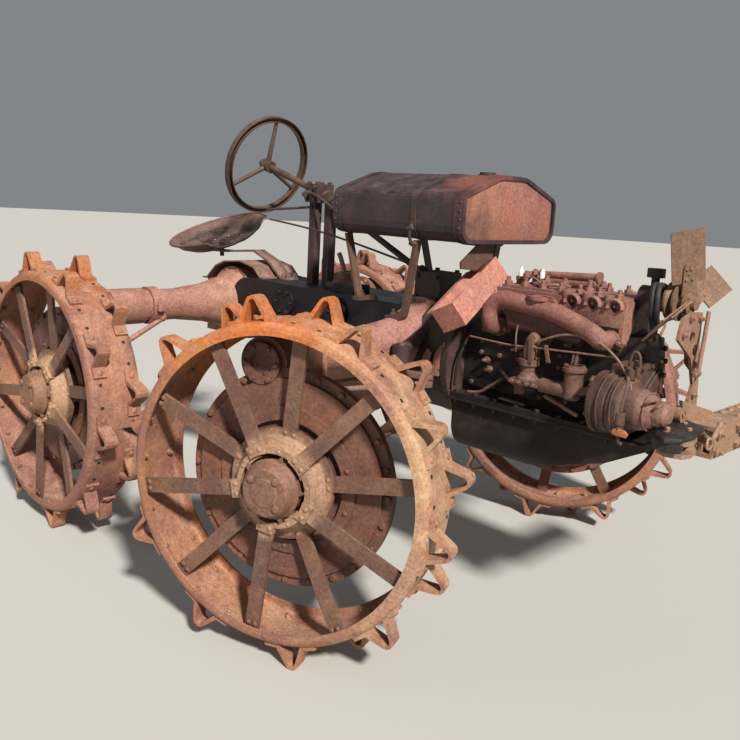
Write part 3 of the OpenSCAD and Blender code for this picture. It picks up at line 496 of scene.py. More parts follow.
# Clutch housing. It is a cast iron bell between the engine and the gearbox, with a flange of
# bolts round its front edge.
bell_coat = rusted("bell rust", "3a2a25", "5c3f31", "82695c", 0.4, 0.35)
coat_nodes(bell_coat, "clutch_housing")


def bolt_circle(centre, radius, out, degrees, scale=1.0):
    """Places on a circle round a centre in millimetres, square to the way out, at those angles."""
    x, y, z = centre
    places = []
    for angle in map(radians, degrees):
        u, v = radius * cos(angle), radius * sin(angle)
        if out[0]:
            point = at(x, y + u, z + v)
        elif out[1]:
            point = at(x + u, y, z + v)
        else:
            point = at(x + u, y + v, z)
        places.append(lay(point, out, scale=scale))
    return places


BELL_AXIS_Z = 300
set_out("bell_bolts", hex_bolt(0.010, 0.008), bolt_circle((215, 0, BELL_AXIS_Z), 208, (-1, 0, 0),
        range(-30, 211, 24)), bell_coat, *DARK_IRON)
strip("bell_guard", [(-16, -62), (14, -60), (16, -8), (30, 26), (22, 58), (2, 34), (-14, 6)], 7,
        lay(at(196, -206, 318), (0.1, -1, 0.1), (1, 0.1, 0)),
        rusted("guard rust", "8d6656", "8a5540", "b8948a", 0.4, 0.6))

# Cylinder block. It is one grey iron casting with a timing case in front, with plates over the
# valves held by small bolts, and studs and nuts wherever something is fixed to it.
# The block's near-black colour is partly oily grime and partly painted shade under the manifold.
block_coat = rusted("block grease and painted shade", "150f0e", "2d1d19", "44332d", 0.5, 0.25)
coat_nodes(block_coat, "engine_block")
COVER_X, COVER_Y, COVER_Z = range(318, 700, 74), 127, (353, 390)
set_out("cover_bolts", hex_bolt(0.008, 0.006),
        [lay(at(x, -COVER_Y, z), (0, -1, 0)) for x in COVER_X for z in COVER_Z]
        + [lay(at(x, -132, 248), (0, -1, 0)) for x in range(290, 750, 90)]
        + [lay(at(x, COVER_Y, z), (0, 1, 0)) for x in COVER_X for z in COVER_Z],
        rusted("cover bolts", "5d463c", "6e4a3a", "8d7368", 0.4, 0.5), *DARK_IRON)
set_out("timing_bolts", hex_bolt(0.009, 0.007),
        bolt_circle((850, 0, 395), 80, (1, 0, 0), range(0, 181, 30))
        + [lay(at(845, s * 82, z), (1, 0, 0)) for s in (-1, 1) for z in (225, 275, 325)],
        block_coat, *DARK_IRON)
side_iron = rusted("side fittings", "6f5145", "7d5340", "a68a7c", 0.4, 0.5)
bar_along("throttle_rod", route((319, -198, 411), (400, -200, 409), (481, -200, 407), (583, -200, 415),
        (700, -196, 421), (835, -192, 429)), 0.0032, side_iron)
bar_along("prime_pipe", route((470, -178, 388), (520, -196, 404), (600, -196, 446), (660, -196, 470),
        (742, -192, 474), (800, -196, 455), (850, -204, 424), (880, -214, 396), (902, -222, 372),
        (912, -226, 330), (910, -228, 300)), 0.0038,
        rusted("dull pipe", "6f5a4e", "70503e", "9c8475", 0.3, 0.5))
bar_along("oil_pipe", route((292, -150, 214), (333, -150, 216), (378, -150, 250), (423, -150, 284)),
        0.0055, side_iron)
bar_along("rear_strap", route((262, -190, 236), (268, -196, 300), (280, -176, 380), (292, -150, 430)),
        0.005, block_coat, *DARK_IRON)
set_out("side_nuts", hex_bolt(0.011, 0.010, 0.016),
        [lay(at(x, -120, z), (0, -1, 0)) for x, z in
         ((330, 430), (340, 330), (352, 300), (480, 300), (720, 300), (736, 340), (640, 430))], side_iron)

# Cylinder head. It is a cast lid with open ports on its right side, nuts along both edges, two
# white spark plugs, and studs, a lever and a wire on top.
head_coat = rusted("head rust", "7b564f", "874c3c", "b38e83", 0.5, 0.5,
        spots=[(at(812, -100, 500), 0.055, 0.075, "8b6253")])
coat_nodes(head_coat, "cylinder_head")
PORT_Y = -120
PLUGS = {"plug_rear": 384, "plug_front": 466}
PLUG_Y = -40
set_out("head_nuts", hex_bolt(0.013, 0.011, 0.012),
        [lay(at(x, s * 88, 583), (0, 0, 1)) for s in (-1, 1) for x in range(372, 769, 66)],
        head_coat, *DARK_IRON)
bpy.ops.mesh.primitive_torus_add(major_segments=28, minor_segments=8, major_radius=0.024, minor_radius=0.0065,
                                 rotation=(pi / 2, 0, 0))
hood = bpy.context.object
settle()
open_whole()
bpy.ops.mesh.bisect(plane_co=(0, 0, -0.004), plane_no=(0, 0, 1), clear_inner=True, use_fill=True)
bpy.ops.mesh.select_all(action="SELECT")
bpy.ops.transform.resize(value=(1, 1.5, 0.92), center_override=(0, 0, 0))
close()
set_out("port_hoods", hood, [Matrix.Translation(at(x, PORT_Y, 559)) for x in (774, 701, 631)],
        head_coat, *DARK_IRON, 50)
plug_white = rusted("plug porcelain", "e9e4dc", "cfc4b4", "f2efe9", 0.2, 0.3, relief=0.0003, metal=0.0,
        gloss=0.35)
for plug_name, plug_x in PLUGS.items():
    bpy.ops.mesh.primitive_cylinder_add(vertices=16, radius=0.0085, depth=0.030,
            location=at(plug_x, PLUG_Y, 612))
    plug = bpy.context.object
    settle()
    pick(plug, lambda middle, normal: normal.z > 0.9)
    inset(0.003)
    lift(0.004)
    pull(0.008)
    inset(0.002)
    close()
    dress(plug, plug_name, plug_white, *DARK_IRON)
set_out("plug_shells", hex_bolt(0.015, 0.012), [lay(at(x, PLUG_Y, 596), (0, 0, 1)) for x in PLUGS.values()],
        side_iron)
head_bits = [("rocker_stud_a", 420, -62, 34), ("rocker_stud_b", 448, -20, 42),
        ("rocker_stud_c", 500, -66, 26), ("rocker_stud_d", 560, -58, 24), ("rocker_stud_e", 690, -52, 30),
        ("rocker_stud_f", 410, 0, 38)]
for bit_name, x, y, tall in head_bits:
    bar_along(bit_name, route((x, y, 580), (x + 3, y, 582 + tall)), 0.008, head_coat, *DARK_IRON)
set_out("stud_nuts", hex_bolt(0.013, 0.011, 0.006),
        [lay(at(x + 2, y, 576 + tall), (0.05, 0, 1)) for _, x, y, tall in head_bits], head_coat, *DARK_IRON)
strip("head_lever", [(-62, -10), (-20, -14), (40, -9), (66, -6), (66, 7), (30, 10), (-30, 13), (-62, 8)], 8,
      lay(at(520, -66, 592), (0, -0.15, 1), (1, 0.1, 0)), head_coat, *DARK_IRON, 0.003)
bar_along("head_wire", route((430, -62, 600), (452, -84, 618), (476, -80, 606), (492, -70, 592)), 0.0028,
        side_iron)

# Exhaust manifold. It is a cast pipe bent down to a port at each end, with an open two-bolt
# flange on top where the stack is missing, and clamped to block and head by large nuts.
manifold_coat = rusted("manifold rust", "80524a", "6b4035", "aa7c72", 0.5, 0.55, relief=0.003)
run = bar_along("manifold_run", route((378, -120, 448), (378, -158, 448), (378, -184, 470),
        (379, -180, 512), (412, -178, 546), (470, -178, 540), (554, -178, 534), (622, -178, 524),
        (700, -178, 500), (752, -180, 480), (772, -172, 462), (771, -145, 462), (771, -120, 462)), 0.0285,
        manifold_coat, *RUSTED_IRON, 9)
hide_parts("exhaust_manifold")
STACK_X = 554.5
MOUTH = (STACK_X, -178, 563)
bpy.ops.mesh.primitive_cylinder_add(vertices=32, radius=0.037, depth=0.012, location=at(*MOUTH))
mouth = bpy.context.object
settle()
pick(mouth, lambda middle, normal: abs(normal.z) < 0.5 and abs(middle.x - at(*MOUTH).x) > 0.0355)
bpy.ops.mesh.extrude_region_move()
bpy.ops.transform.resize(value=(1.42, 1, 1), center_override=at(*MOUTH))
pick(mouth, lambda middle, normal: normal.z > 0.9)
inset(0.016)
pull(-0.024)
pick(mouth, lambda middle, normal: normal.z < -0.9 and middle.z < at(0, 0, 558).z)
inset(0.009)
pull(-0.026)
close()
dress(mouth, "manifold_mouth", manifold_coat, *RUSTED_IRON)
# each flange on the engine's side: name, place along the engine, height
FLANGES = [("manifold_flange_rear", 378, 446), ("manifold_flange_middle", STACK_X, 536),
        ("manifold_flange_front", 771, 462)]
for flange_name, flange_x, flange_z in FLANGES:
    bpy.ops.mesh.primitive_cylinder_add(vertices=24, radius=0.030, depth=0.012, rotation=(pi / 2, 0, 0))
    flange = bpy.context.object
    settle()
    pick(flange, lambda middle, normal: abs(normal.y) < 0.5 and abs(middle.x) > 0.0285)
    bpy.ops.mesh.extrude_region_move()
    bpy.ops.transform.resize(value=(1.75, 1, 1), center_override=(0, 0, 0))
    close()
    flange.data.transform(Matrix.Translation(at(flange_x, -124, flange_z)))
    dress(flange, flange_name, manifold_coat, *RUSTED_IRON)
# the casting between the branches, shaped from a cube into a log with slanting ends; its darker coat is
# painted shade under the pipe run
bpy.ops.mesh.primitive_cube_add(size=1, location=(0, 0, 0))
web = bpy.context.object
web.scale = (0.330, 0.040, 0.058)
settle()
pick(web, lambda middle, normal: normal.z < -0.9)
bpy.ops.transform.resize(value=(0.80, 1, 1), center_override=(0, 0, 0))
inset(0.008)
lift(-0.010)
pick(web, lambda middle, normal: normal.z > 0.9)
lift(0.012)
close()
soft = web.modifiers.new("edge", "BEVEL")
soft.width = 0.013
soft.segments = 4
bpy.ops.object.modifier_apply(modifier="edge")
web.data.transform(Matrix.Translation(at(575, -158, 486)) @ Matrix.Rotation(radians(3), 4, "Y"))
dress(web, "manifold_web", rusted("manifold web rust in painted shade", "4a302b", "5d382e", "7a5a51", 0.5, 0.4), *RUSTED_IRON)
set_out("manifold_nuts", hex_bolt(0.013, 0.012, 0.012),
        [lay(at(x + s * 42, -130, z), (0, -1, 0)) for x, z in ((378, 446), (771, 462), (STACK_X, 536))
         for s in (-1, 1)], manifold_coat, *RUSTED_IRON)

# Carburettor. It is a small casting under the intake elbow with a float bowl and an air horn,
# all on thin pipes; choke and throttle levers hang on its side.
carb_coat = rusted("carburettor rust", "65483b", "704a37", "9c7d6d", 0.4, 0.45)
coat_nodes(carb_coat, "carburetor")
CARB_X = 546
set_out("carb_nuts", hex_bolt(0.008, 0.007, 0.006),
        [lay(at(CARB_X + dx, -190, 378), (0, 0, 1)) for dx in (-27, 27)]
        + [lay(at(CARB_X + dx, -221, 304), (0, -1, 0)) for dx in (-36, -8, 22, 44)]
        + [lay(at(CARB_X + dx, -130, 443), (0, -1, 0)) for dx in (-30, 30)], carb_coat, *RUSTED_IRON)
strip("choke_lever", [(-9, -44), (8, -44), (6, 20), (14, 34), (0, 44), (-12, 34)], 4,
        lay(at(566, -212, 412), (0, -1, 0.1), (1, 0, 0.1)), carb_coat)
strip("throttle_lever", [(-7, -26), (7, -28), (6, 26), (-6, 28)], 4,
        lay(at(618, -206, 404), (0.1, -1, 0), (1, 0.1, 0.25)), carb_coat)
bar_along("choke_wire", route((500, -200, 392), (506, -212, 420), (500, -206, 452), (484, -176, 470)),
        0.003, carb_coat)
bar_along("cup_lever", route((706, -190, 384), (712, -190, 424)), 0.006, carb_coat)
bar_along("cup_lever_arm", route((694, -190, 380), (700, -194, 416)), 0.004, carb_coat)
bar_along("bowl_pipe", route((522, -190, 270), (506, -196, 286), (470, -186, 300), (432, -160, 306),
        (400, -128, 306)), 0.006, carb_coat)

# Belt-driven unit. A ribbed steel drum on a carrier of the timing case ends in a cast cone and a
# domed cap; clips, wires and a fuel bowl hang on it.
drive_coat = rusted("drive rust", "3e2c28", "5a382d", "85665a", 0.5, 0.45,
        spots=[(at(990, -200, 300), 0.05, 0.1, "7d5a4c")])
coat_nodes(drive_coat, "accessory_drive")
DRUM_Y, DRUM_Z = -200, 300
set_out("drum_bolts", hex_bolt(0.009, 0.008),
        bolt_circle((808, DRUM_Y, DRUM_Z), 78, (-1, 0, 0), range(20, 380, 60))
        + bolt_circle((904, DRUM_Y, DRUM_Z), 52, (1, 0, 0), range(0, 360, 45), 0.8),
        drive_coat, *RUSTED_IRON)
RING_STEPS = 40
for ring_name, ring_x, ring_r in (("drum_band_rear", 838, 85.5), ("drum_band_front", 880, 85.5),
        ("cone_band", 960, 52)):
    steps = [i * tau / RING_STEPS for i in range(RING_STEPS + 1)]
    ring = [at(ring_x, DRUM_Y + ring_r * cos(a), DRUM_Z + ring_r * sin(a)) for a in steps]
    bar_along(ring_name, ring, 0.003, drive_coat, *RUSTED_IRON)
set_out("housing_bolts", hex_bolt(0.008, 0.007),
        [lay(at(892, y, z), (1, 0, 0)) for y, z in
         ((-164, 300), (-166, 340), (-168, 384), (-140, 402), (-90, 405), (-40, 400), (-12, 370),
          (-10, 310))], drive_coat, *RUSTED_IRON)
bar_along("clip_a", route((960, -246, 322), (972, -258, 336), (984, -246, 344), (984, -226, 338),
        (972, -218, 326), (960, -226, 316)), 0.004, drive_coat, *RUSTED_IRON)
bar_along("clip_b", route((986, -238, 318), (998, -246, 328), (1004, -232, 336), (996, -216, 330)), 0.004,
        drive_coat, *RUSTED_IRON)
bar_along("bowl_stem", route((887, -215, 396), (902, -232, 372), (906, -262, 330), (905, -266, 298)),
        0.0065, drive_coat, *RUSTED_IRON)
bar_along("bowl_drain", route((905, -266, 232), (905, -268, 214), (916, -262, 206)), 0.006, drive_coat,
        *RUSTED_IRON)
orange_coat = rusted("orange rust", "a0603c", "b56a38", "c9906a", 0.5, 0.4)
strip("bowl_clamp", [(-20, -9), (22, -10), (26, 2), (14, 10), (-14, 11), (-24, 2)], 6,
        lay(at(912, -270, 240), (0, -1, 0.2), (1, 0, 0)), orange_coat, *RUSTED_IRON)
for i, (vx, vy, vz, vr) in enumerate(((880, -205, 402, 10), (896, -214, 396, 12), (912, -210, 404, 8),
        (900, -196, 418, 9))):
    bar_along("valve_bit_%d" % i, route((vx, vy, vz - 12), (vx + 2, vy - 2, vz + 14)), vr / 1000,
            drive_coat, *RUSTED_IRON)
bar_along("valve_loop", route((884, -206, 420), (890, -214, 452), (908, -214, 462), (920, -212, 440),
        (918, -212, 404)), 0.004, drive_coat, *RUSTED_IRON)

# Fan. A pulley on a spindle carries a spider with four riveted sheet blades; the cracked belt
# still hangs in loops behind it.
fan_coat = rusted("fan blade rust", "735845", "6f4a3a", "997c64", 0.5, 0.5, relief=0.0012)
coat_nodes(fan_coat, "fan")
FAN = at(937, 0, 588)
FIRST_BLADE, BLADE_PITCH = 18, radians(-42)
blade_rivets, hub_bolts = [], []
for quarter in range(4):
    turn = (Matrix.Translation(FAN) @ Matrix.Rotation(radians(FIRST_BLADE + quarter * 90), 4, "X")
            @ Matrix.Rotation(BLADE_PITCH, 4, "Z"))
    for up_mm, side_mm in ((72, -9), (72, 9), (88, 0), (102, -6), (102, 6)):
        blade_rivets.append(turn @ lay(Vector((0.007, side_mm / 1000, up_mm / 1000)), (1, 0, 0)))
        blade_rivets.append(turn @ lay(Vector((-0.002, side_mm / 1000, up_mm / 1000)), (-1, 0, 0)))
    hub_turn = Matrix.Translation(FAN) @ Matrix.Rotation(radians(FIRST_BLADE + 45 + quarter * 90), 4, "X")
    hub_bolts.append(hub_turn @ lay(Vector((0.010, 0, 0.029)), (1, 0, 0)))
set_out("blade_rivets", rivet(0.0055), blade_rivets, fan_coat, "fan", "rusted_steel")
set_out("fan_hub_bolts", hex_bolt(0.007, 0.006), hub_bolts, fan_coat, "fan", "rusted_steel")
# The fan bracket is coloured near-black as painted shade behind the fan.
bracket_coat = rusted("bracket painted shade", "241c1b", "3a2b26", "5d4b44", 0.4, 0.3)
coat_nodes(bracket_coat, "fan_bracket")
belt_coat = rusted("dried belt", "1b1a1c", "2a2422", "4b4340", 0.3, 0.3, relief=0.0008, metal=0.0)
for belt_name, lean in (("belt_loop_rear", 0), ("belt_loop_front", 16)):
    loop = route((862 + lean, -18, 622), (858 + lean, -56, 640), (866 + lean, -86, 618),
            (872 + lean, -92, 570), (868 + lean, -78, 534), (860 + lean, -52, 520))
    bar_along(belt_name, loop, 0.0085, belt_coat, *DARK_IRON)

# Front support plate. It is cut from sheet, bolted to the cross channel's bracket, and once held
# the radiator; a thin stay stands beside it.
plate_coat = rusted("plate rust", "81604f", "8c5f45", "ab8a78", 0.5, 0.5, relief=0.0014)
coat_nodes(plate_coat, "front_plate")
set_out("plate_bolts", hex_bolt(0.009, 0.008, 0.006),
        [lay(at(988.5, y - 22, z), (1, 0, 0)) for y, z in
         ((-104, 512), (-70, 556), (-10, 552), (-6, 420), (8, 330))], plate_coat)
bar_along("plate_stay", route((1006, -20, 574), (1008, -30, 500), (1012, -50, 410)), 0.006, plate_coat)
set_out("stay_bolt", hex_bolt(0.013, 0.012, 0.014), [lay(at(1014, -62, 404), (0.2, -1, 0))], plate_coat)

# Water pipes. They run along the head's top between short posts; hoses and clamps are gone.
pipe_coat = rusted("water pipe rust", "7d5145", "8a5540", "ae887b", 0.4, 0.5)
coat_nodes(pipe_coat, "engine_pipes")
set_out("post_bolts", hex_bolt(0.010, 0.009), [lay(at(x, 20, 606), (0, -1, 0)) for x in (407, 619)],
        pipe_coat)
bar_along("pipe_elbow", route((386, 32, 612), (372, 24, 612), (366, 6, 604), (370, -4, 590),
        (372, -6, 582)), 0.011, pipe_coat)

# Axle housings. The front and rear axles are cast centres with flared tubes; the front tube ends
# in the kingpin forks, the rear ones in flanges of the wheels' gear cases.
axle_coat = rusted("axle rust", "926656", "84513f", "c39686", 0.5, 0.6)
coat_nodes(axle_coat, "front_axle", "rear_axle")
AXLE_Z = 340
REAR_AXLE_X = -1140
REAR_TUBE_END = 724
centre_bolts = []
for core_x in (0, REAR_AXLE_X):
    for side in (-1, 1):
        centre_bolts += bolt_circle((core_x, side * 88, AXLE_Z), 140, (0, side, 0), range(15, 375, 30))
set_out("axle_bolts", hex_bolt(0.010, 0.008), centre_bolts, axle_coat, *RUSTED_IRON)
set_out("tube_bolts", hex_bolt(0.011, 0.010, 0.012),
        [lay(at(REAR_AXLE_X + 82, s * (REAR_TUBE_END - 218), AXLE_Z + 14), (0, 0, 1)) for s in (-1, 1)]
        + [lay(at(-60, s * 600, z), (-1, 0, 0)) for s in (-1, 1) for z in (AXLE_Z - 74, AXLE_Z + 74)],
        axle_coat, *RUSTED_IRON)
set_out("flange_bolts", hex_bolt(0.010, 0.009),
        [place for s in (-1, 1) for place in bolt_circle((REAR_AXLE_X, s * REAR_TUBE_END, AXLE_Z), 78,
        (0, -s, 0), range(0, 360, 60))], axle_coat, *RUSTED_IRON)
hanger_coat = rusted("hanger rust", "8d6454", "8b583f", "b99686", 0.4, 0.6)
strip("axle_hanger", [(-14, -46), (10, -44), (16, -4), (26, 30), (12, 46), (-6, 20), (-16, -6)], 6,
      lay(at(150, -216, 300), (0.2, -1, 0), (1, 0.2, 0.1)), hanger_coat)

# Gearbox. It is a long cast case between the axles, closed by bolted covers; its top is smooth
# with old oil, so that it shines.
GEARBOX_SIDE = 150
TOWER_X, TOWER_Y = -520, 20
# The gearbox coat's near-black colour is partly old oil and partly painted shade.
gear_coat = rusted("oily gearbox in painted shade", "0f0e13", "1d1618", "2f2d37", 0.4, 0.35, metal=0.2, gloss=0.22,
        spots=[(at(TOWER_X, TOWER_Y, 530), 0.085, 0.1, "8f6154")])
coat_nodes(gear_coat, "transmission")
set_out("gearbox_bolts", hex_bolt(0.010, 0.008),
        [lay(at(x, s * GEARBOX_SIDE, 330), (0, 0, 1)) for x in range(-940, -180, 76) for s in (-1, 1)]
        + [place for cover_x in (-700, -380) for s in (-1, 1)
           for place in bolt_circle((cover_x, s * GEARBOX_SIDE, 390), 46, (0, s, 0), range(0, 360, 60))],
        gear_coat, *DARK_IRON)
set_out("tower_bolts", hex_bolt(0.009, 0.008), bolt_circle((TOWER_X, TOWER_Y, 476), 66, (0, 0, 1),
        range(30, 390, 60)), gear_coat, *DARK_IRON)
bar_along("shift_stub", route((TOWER_X, TOWER_Y, 522), (-526, 18, 560), (-548, 12, 604)), 0.010, hanger_coat)

# Wheels. Each is a rolled steel rim with two rows of bolted strap lugs, ten riveted flat spokes,
# a cast hub ring and a hub cap; front wheels hang on the knuckles, rear ones on the gear cases.
KINGPIN_Y, WHEEL_OUT, REAR_WHEEL_Y = 0.690, 0.170, 0.860
SPINDLE_LEAD = 0.100
REAR_WHEEL_X = REAR_AXLE_X / 1000 - SPINDLE_LEAD
STEERED = radians(21.4)


def wheel_place(axle, side):
    """Where a wheel stands: from its own frame, with its outer side towards -Y, to the scene."""
    mirror = Matrix.Scale(-1, 4, (0, 1, 0)) if side > 0 else Matrix.Identity(4)
    if axle == "front":
        steered = (Matrix.Translation((0, side * KINGPIN_Y, 0)) @ Matrix.Rotation(STEERED, 4, "Z")
                   @ Matrix.Translation((SPINDLE_LEAD, side * WHEEL_OUT, 0)))
    else:
        steered = Matrix.Translation((REAR_WHEEL_X, side * REAR_WHEEL_Y, 0))
    return Matrix.Translation(at(0, 0, 0)) @ steered @ mirror


# The rim coat's pale tan patch on the front right rim's forward side is a painted highlight; its orange
# patches at the tops are rust.
rim_coat = rusted("rim rust and painted highlight", "855a4b", "9c6340", "b6927e", 0.6, 0.6, relief=0.0026,
        spots=[(at(-1240, -860, 470), 0.10, 0.42, "a0603a"), (at(60, -840, 480), 0.16, 0.46, "b8682f"),
        (at(380, -700, 0), 0.10, 0.5, "b08f70")])
lug_coat = rusted("lug rust", "835c4a", "9c6641", "b4927e", 0.6, 0.6)
hubs = [wheel_place(axle, side) @ Vector((0, -0.05, 0)) for axle in ("front", "rear") for side in (-1, 1)]
spoke_coat = rusted("spoke rust", "63463a", "744b37", "927765", 0.5, 0.55,
        spots=[(hub, 0.145, 0.175, "a07e62") for hub in hubs])
cap_coat = rusted("hub cap rust", "765241", "85583c", "a08272", 0.5, 0.5)
hole_coat = rusted("hole shadow", "231a18", "33241f", "453630", 0.3, 0.1)


def on_wheel(radius, angle, y, out, along=None):
    """Place on a wheel, in its own frame: radius and angle in its plane, y across, out as named."""
    a = radians(angle)
    ray = Vector((cos(a), 0, sin(a)))
    axis = {"radial": ray, "inward": -ray, "outer": Vector((0, -1, 0)), "inner": Vector((0, 1, 0))}[out]
    round_way = Vector((-sin(a), 0, cos(a)))
    return lay(ray * radius / 1000 + Vector((0, y / 1000, 0)), axis, round_way if along is None else along)


def hole_mark(radius):
    """A round hole in a rim, as a thin dark inlay on the origin with a worn edge."""
    bpy.ops.mesh.primitive_cylinder_add(vertices=14, radius=radius, depth=0.0016)
    model = bpy.context.object
    pick(model, lambda middle, normal: normal.z > 0.9)
    inset(radius * 0.2)
    lift(-0.0006)
    close()
    return model


# each wheel: name, which axle, which side
WHEELS = [("front_right", "front", -1), ("front_left", "front", 1), ("rear_right", "rear", -1),
        ("rear_left", "rear", 1)]
LUG_STEP, LUG_ROW_Y = 36, 61.5
lug_rows = [(first + k * LUG_STEP, y) for first, y in ((-81, -LUG_ROW_Y), (-99, LUG_ROW_Y))
        for k in range(10)]
LUG_FOOT_R, RIM_OUTER_R, RIM_INNER_R, SPOKE_END_R = 492.4, 482.8, 474.8, 448
# each row of spokes: first angle, y at the rim, radius and y at the hub, rivets' half spread there
SPOKE_ROWS = [(46, -73.2, 120, -92, 7), (10, -66.6, 156, -34, 5)]
for wheel, axle, side in WHEELS:
    body = "wheel_" + wheel
    stand = wheel_place(axle, side)
    coat_nodes(rim_coat, "rim_" + wheel)
    coat_nodes(spoke_coat, "spokes_" + wheel)
    coat_nodes(cap_coat, "cap_" + wheel)
    feet = [(angle + s * 7.75, y) for angle, y in lug_rows for s in (-1, 1)]
    set_out("lug_bolts_" + wheel, rivet(0.0115, 0.5),
            [stand @ on_wheel(LUG_FOOT_R, a, y, "radial") for a, y in feet], lug_coat, body, "rusted_rim")
    set_out("lug_nuts_" + wheel, hex_bolt(0.0105, 0.009, 0.007),
            [stand @ on_wheel(RIM_INNER_R, a, y, "inward") for a, y in feet], lug_coat, body, "rusted_rim")
    set_out("rim_holes_" + wheel, hole_mark(0.0065),
            [stand @ on_wheel(RIM_OUTER_R, a + d, y, "radial") for a, y in lug_rows for d in (13, 23)],
            hole_coat, body, "rusted_rim")
    ends = []
    for first, rim_y, hub_r, hub_y, spread in SPOKE_ROWS:
        for angle in range(first, first + 360, 72):
            ends += [stand @ on_wheel(SPOKE_END_R, angle + d, rim_y, "outer") for d in (-1.4, 1.4)]
            ends += [stand @ on_wheel(hub_r, angle + d, hub_y, "outer") for d in (-spread, spread)]
    set_out("spoke_rivets_" + wheel, rivet(0.0085), ends, spoke_coat, body, "rusted_iron")
    set_out("ring_rivets_" + wheel, rivet(0.006),
            [stand @ on_wheel(112, a, -84, "outer") for a in range(10, 370, 36)], spoke_coat, body,
            "rusted_iron")
    set_out("cap_bolts_" + wheel, hex_bolt(0.012, 0.007),
            [stand @ on_wheel(56, a, -133, "outer") for a in (48, 138, 228, 318)], cap_coat, body,
            "rusted_iron")

# Gear cases. The last gears of each wheel run in a flat cast drum behind the hub, closed by a
# ring of bolts; the front ones are the steering knuckles, swung on the kingpins.
case_coat = rusted("gear case rust", "66463a", "8a5236", "8b6b5c", 0.6, 0.4)
CASE_BOLT_R = 321
# each case: node, its body, which axle, which side
CASES = [("knuckle_right", "knuckle_right", "front", -1), ("knuckle_left", "knuckle_left", "front", 1),
         ("rear_case_right", "chassis", "rear", -1), ("rear_case_left", "chassis", "rear", 1)]
for case, body, axle, side in CASES:
    stand = wheel_place(axle, side)
    coat_nodes(case_coat, case)
    rim_bolts = [stand @ on_wheel(CASE_BOLT_R, a, 16, "outer") for a in range(0, 360, 15)]
    rim_nuts = [stand @ on_wheel(CASE_BOLT_R, a, 42, "inner") for a in range(0, 360, 15)]
    set_out("case_bolts_" + case, hex_bolt(0.010, 0.008), rim_bolts, case_coat, body, "rusted_iron")
    set_out("case_nuts_" + case, hex_bolt(0.010, 0.008, 0.008), rim_nuts, case_coat, body, "rusted_iron")
    set_out("case_ring_rivets_" + case, rivet(0.008),
            [stand @ on_wheel(205, a, -4, "outer") for a in range(18, 378, 36)], case_coat, body,
            "rusted_iron")
    reach = SPINDLE_LEAD if axle == "front" else -SPINDLE_LEAD
    boss_bolts = []
    for a in map(radians, range(0, 360, 60)):
        boss = Vector((-reach + 0.052 * cos(a), 0.0, AXLE_Z / 1000 + 0.052 * sin(a)))
        boss_bolts.append(stand @ lay(boss, (0, -1, 0)))
    set_out("boss_bolts_" + case, hex_bolt(0.008, 0.007), boss_bolts, case_coat, body, "rusted_iron")

# Steering rods. The tie rod joins the knuckles behind the axle, and the drag link runs from the
# gear's arm to the right one; they are forged rods with an eye at each end.
rod_coat = rusted("rod rust", "6e5044", "7c513e", "9d8072", 0.4, 0.5)
coat_nodes(rod_coat, "tie_rod", "drag_link", "steering_arm")

# Fuel tank. It is folded from sheet steel with pressed-in ends and a seam near each, once painted
# and now purple-brown, with salmon rust on its front end; a strap and four legs carry it.
# The tank coat's pale grey on its upward faces is a painted sky reflection on the top, over the purple-brown
# paint.
tank_coat = rusted("tank paint with painted sky reflection", "2e2226", "4b2e28", "725c60", 0.45, 0.5, relief=0.0012, metal=0.1,
        gloss=0.12, spots=[(at(250, -120, 925), 0.04, 0.16, "82412f")])
coat_nodes(tank_coat, "fuel_tank")
coat_nodes(rusted("strap rust", "3d2f2d", "553a32", "705f5c", 0.4, 0.45), "tank_strap")
end_coat = rusted("tank end rust", "89594b", "934f30", "ad8779", 0.5, 0.6, relief=0.0014,
                  spots=[(at(300, -230, 725), 0.03, 0.2, "5e3b31"), (at(300, 150, 925), 0.02, 0.1, "6e4436")])
TANK_END_X, TANK_FLOOR_Z = 293.4, 705
half = [(0, 3), (206, 3), (226, 7), (243, 18), (253, 35), (255, 52), (255, 125), (250, 146), (238, 156),
        (66, 216.5), (0, 217)]
outline = half + [(-y, z) for y, z in reversed(half[1:-1])]
inner = [(y * 0.93, 3 + (z - 3) * 0.93 + 7) for y, z in outline]
for end_name, end_x, way in (("tank_end_front", TANK_END_X, 1), ("tank_end_rear", -TANK_END_X, -1)):
    strip(end_name, inner, 1.2, lay(at(end_x, 0, TANK_FLOOR_Z), (way, 0, 0), (0, way, 0)), end_coat,
            *TANK_PAINT, 0.0004)
SEAM_X = (-286, 286)
set_out("tank_rivets", rivet(0.0055),
        [lay(at(x, s * 258, z), (0, s, 0)) for x in SEAM_X for s in (-1, 1) for z in range(752, 835, 27)]
        + [lay(at(x, y, 925), (0, 0, 1)) for x in SEAM_X for y in (-50, -17, 17, 50)],
        tank_coat, *TANK_PAINT)
bar_along("strap_hook", route((91, -262, 752), (91, -272, 742), (91, -272, 712), (91, -262, 694)), 0.006,
        tank_coat, *TANK_PAINT)
set_out("strap_bolt", hex_bolt(0.012, 0.010, 0.012), [lay(at(91, s * 263, 740), (0, s, 0)) for s in (-1, 1)],
        tank_coat, *TANK_PAINT)
leg_coat = rusted("leg rust", "523a31", "64402f", "84695c", 0.4, 0.5)
coat_nodes(leg_coat, "tank_legs", "box_bracket")
set_out("leg_bolts", hex_bolt(0.011, 0.010, 0.010), [lay(at(-6, s * 224, 436), (0, 0, 1)) for s in (-1, 1)]
        + [lay(at(84, s * 238, 690), (0, s, 0)) for s in (-1, 1)]
        + [lay(at(-200, s * 190, 479), (0, 0, 1)) for s in (-1, 1)], leg_coat)

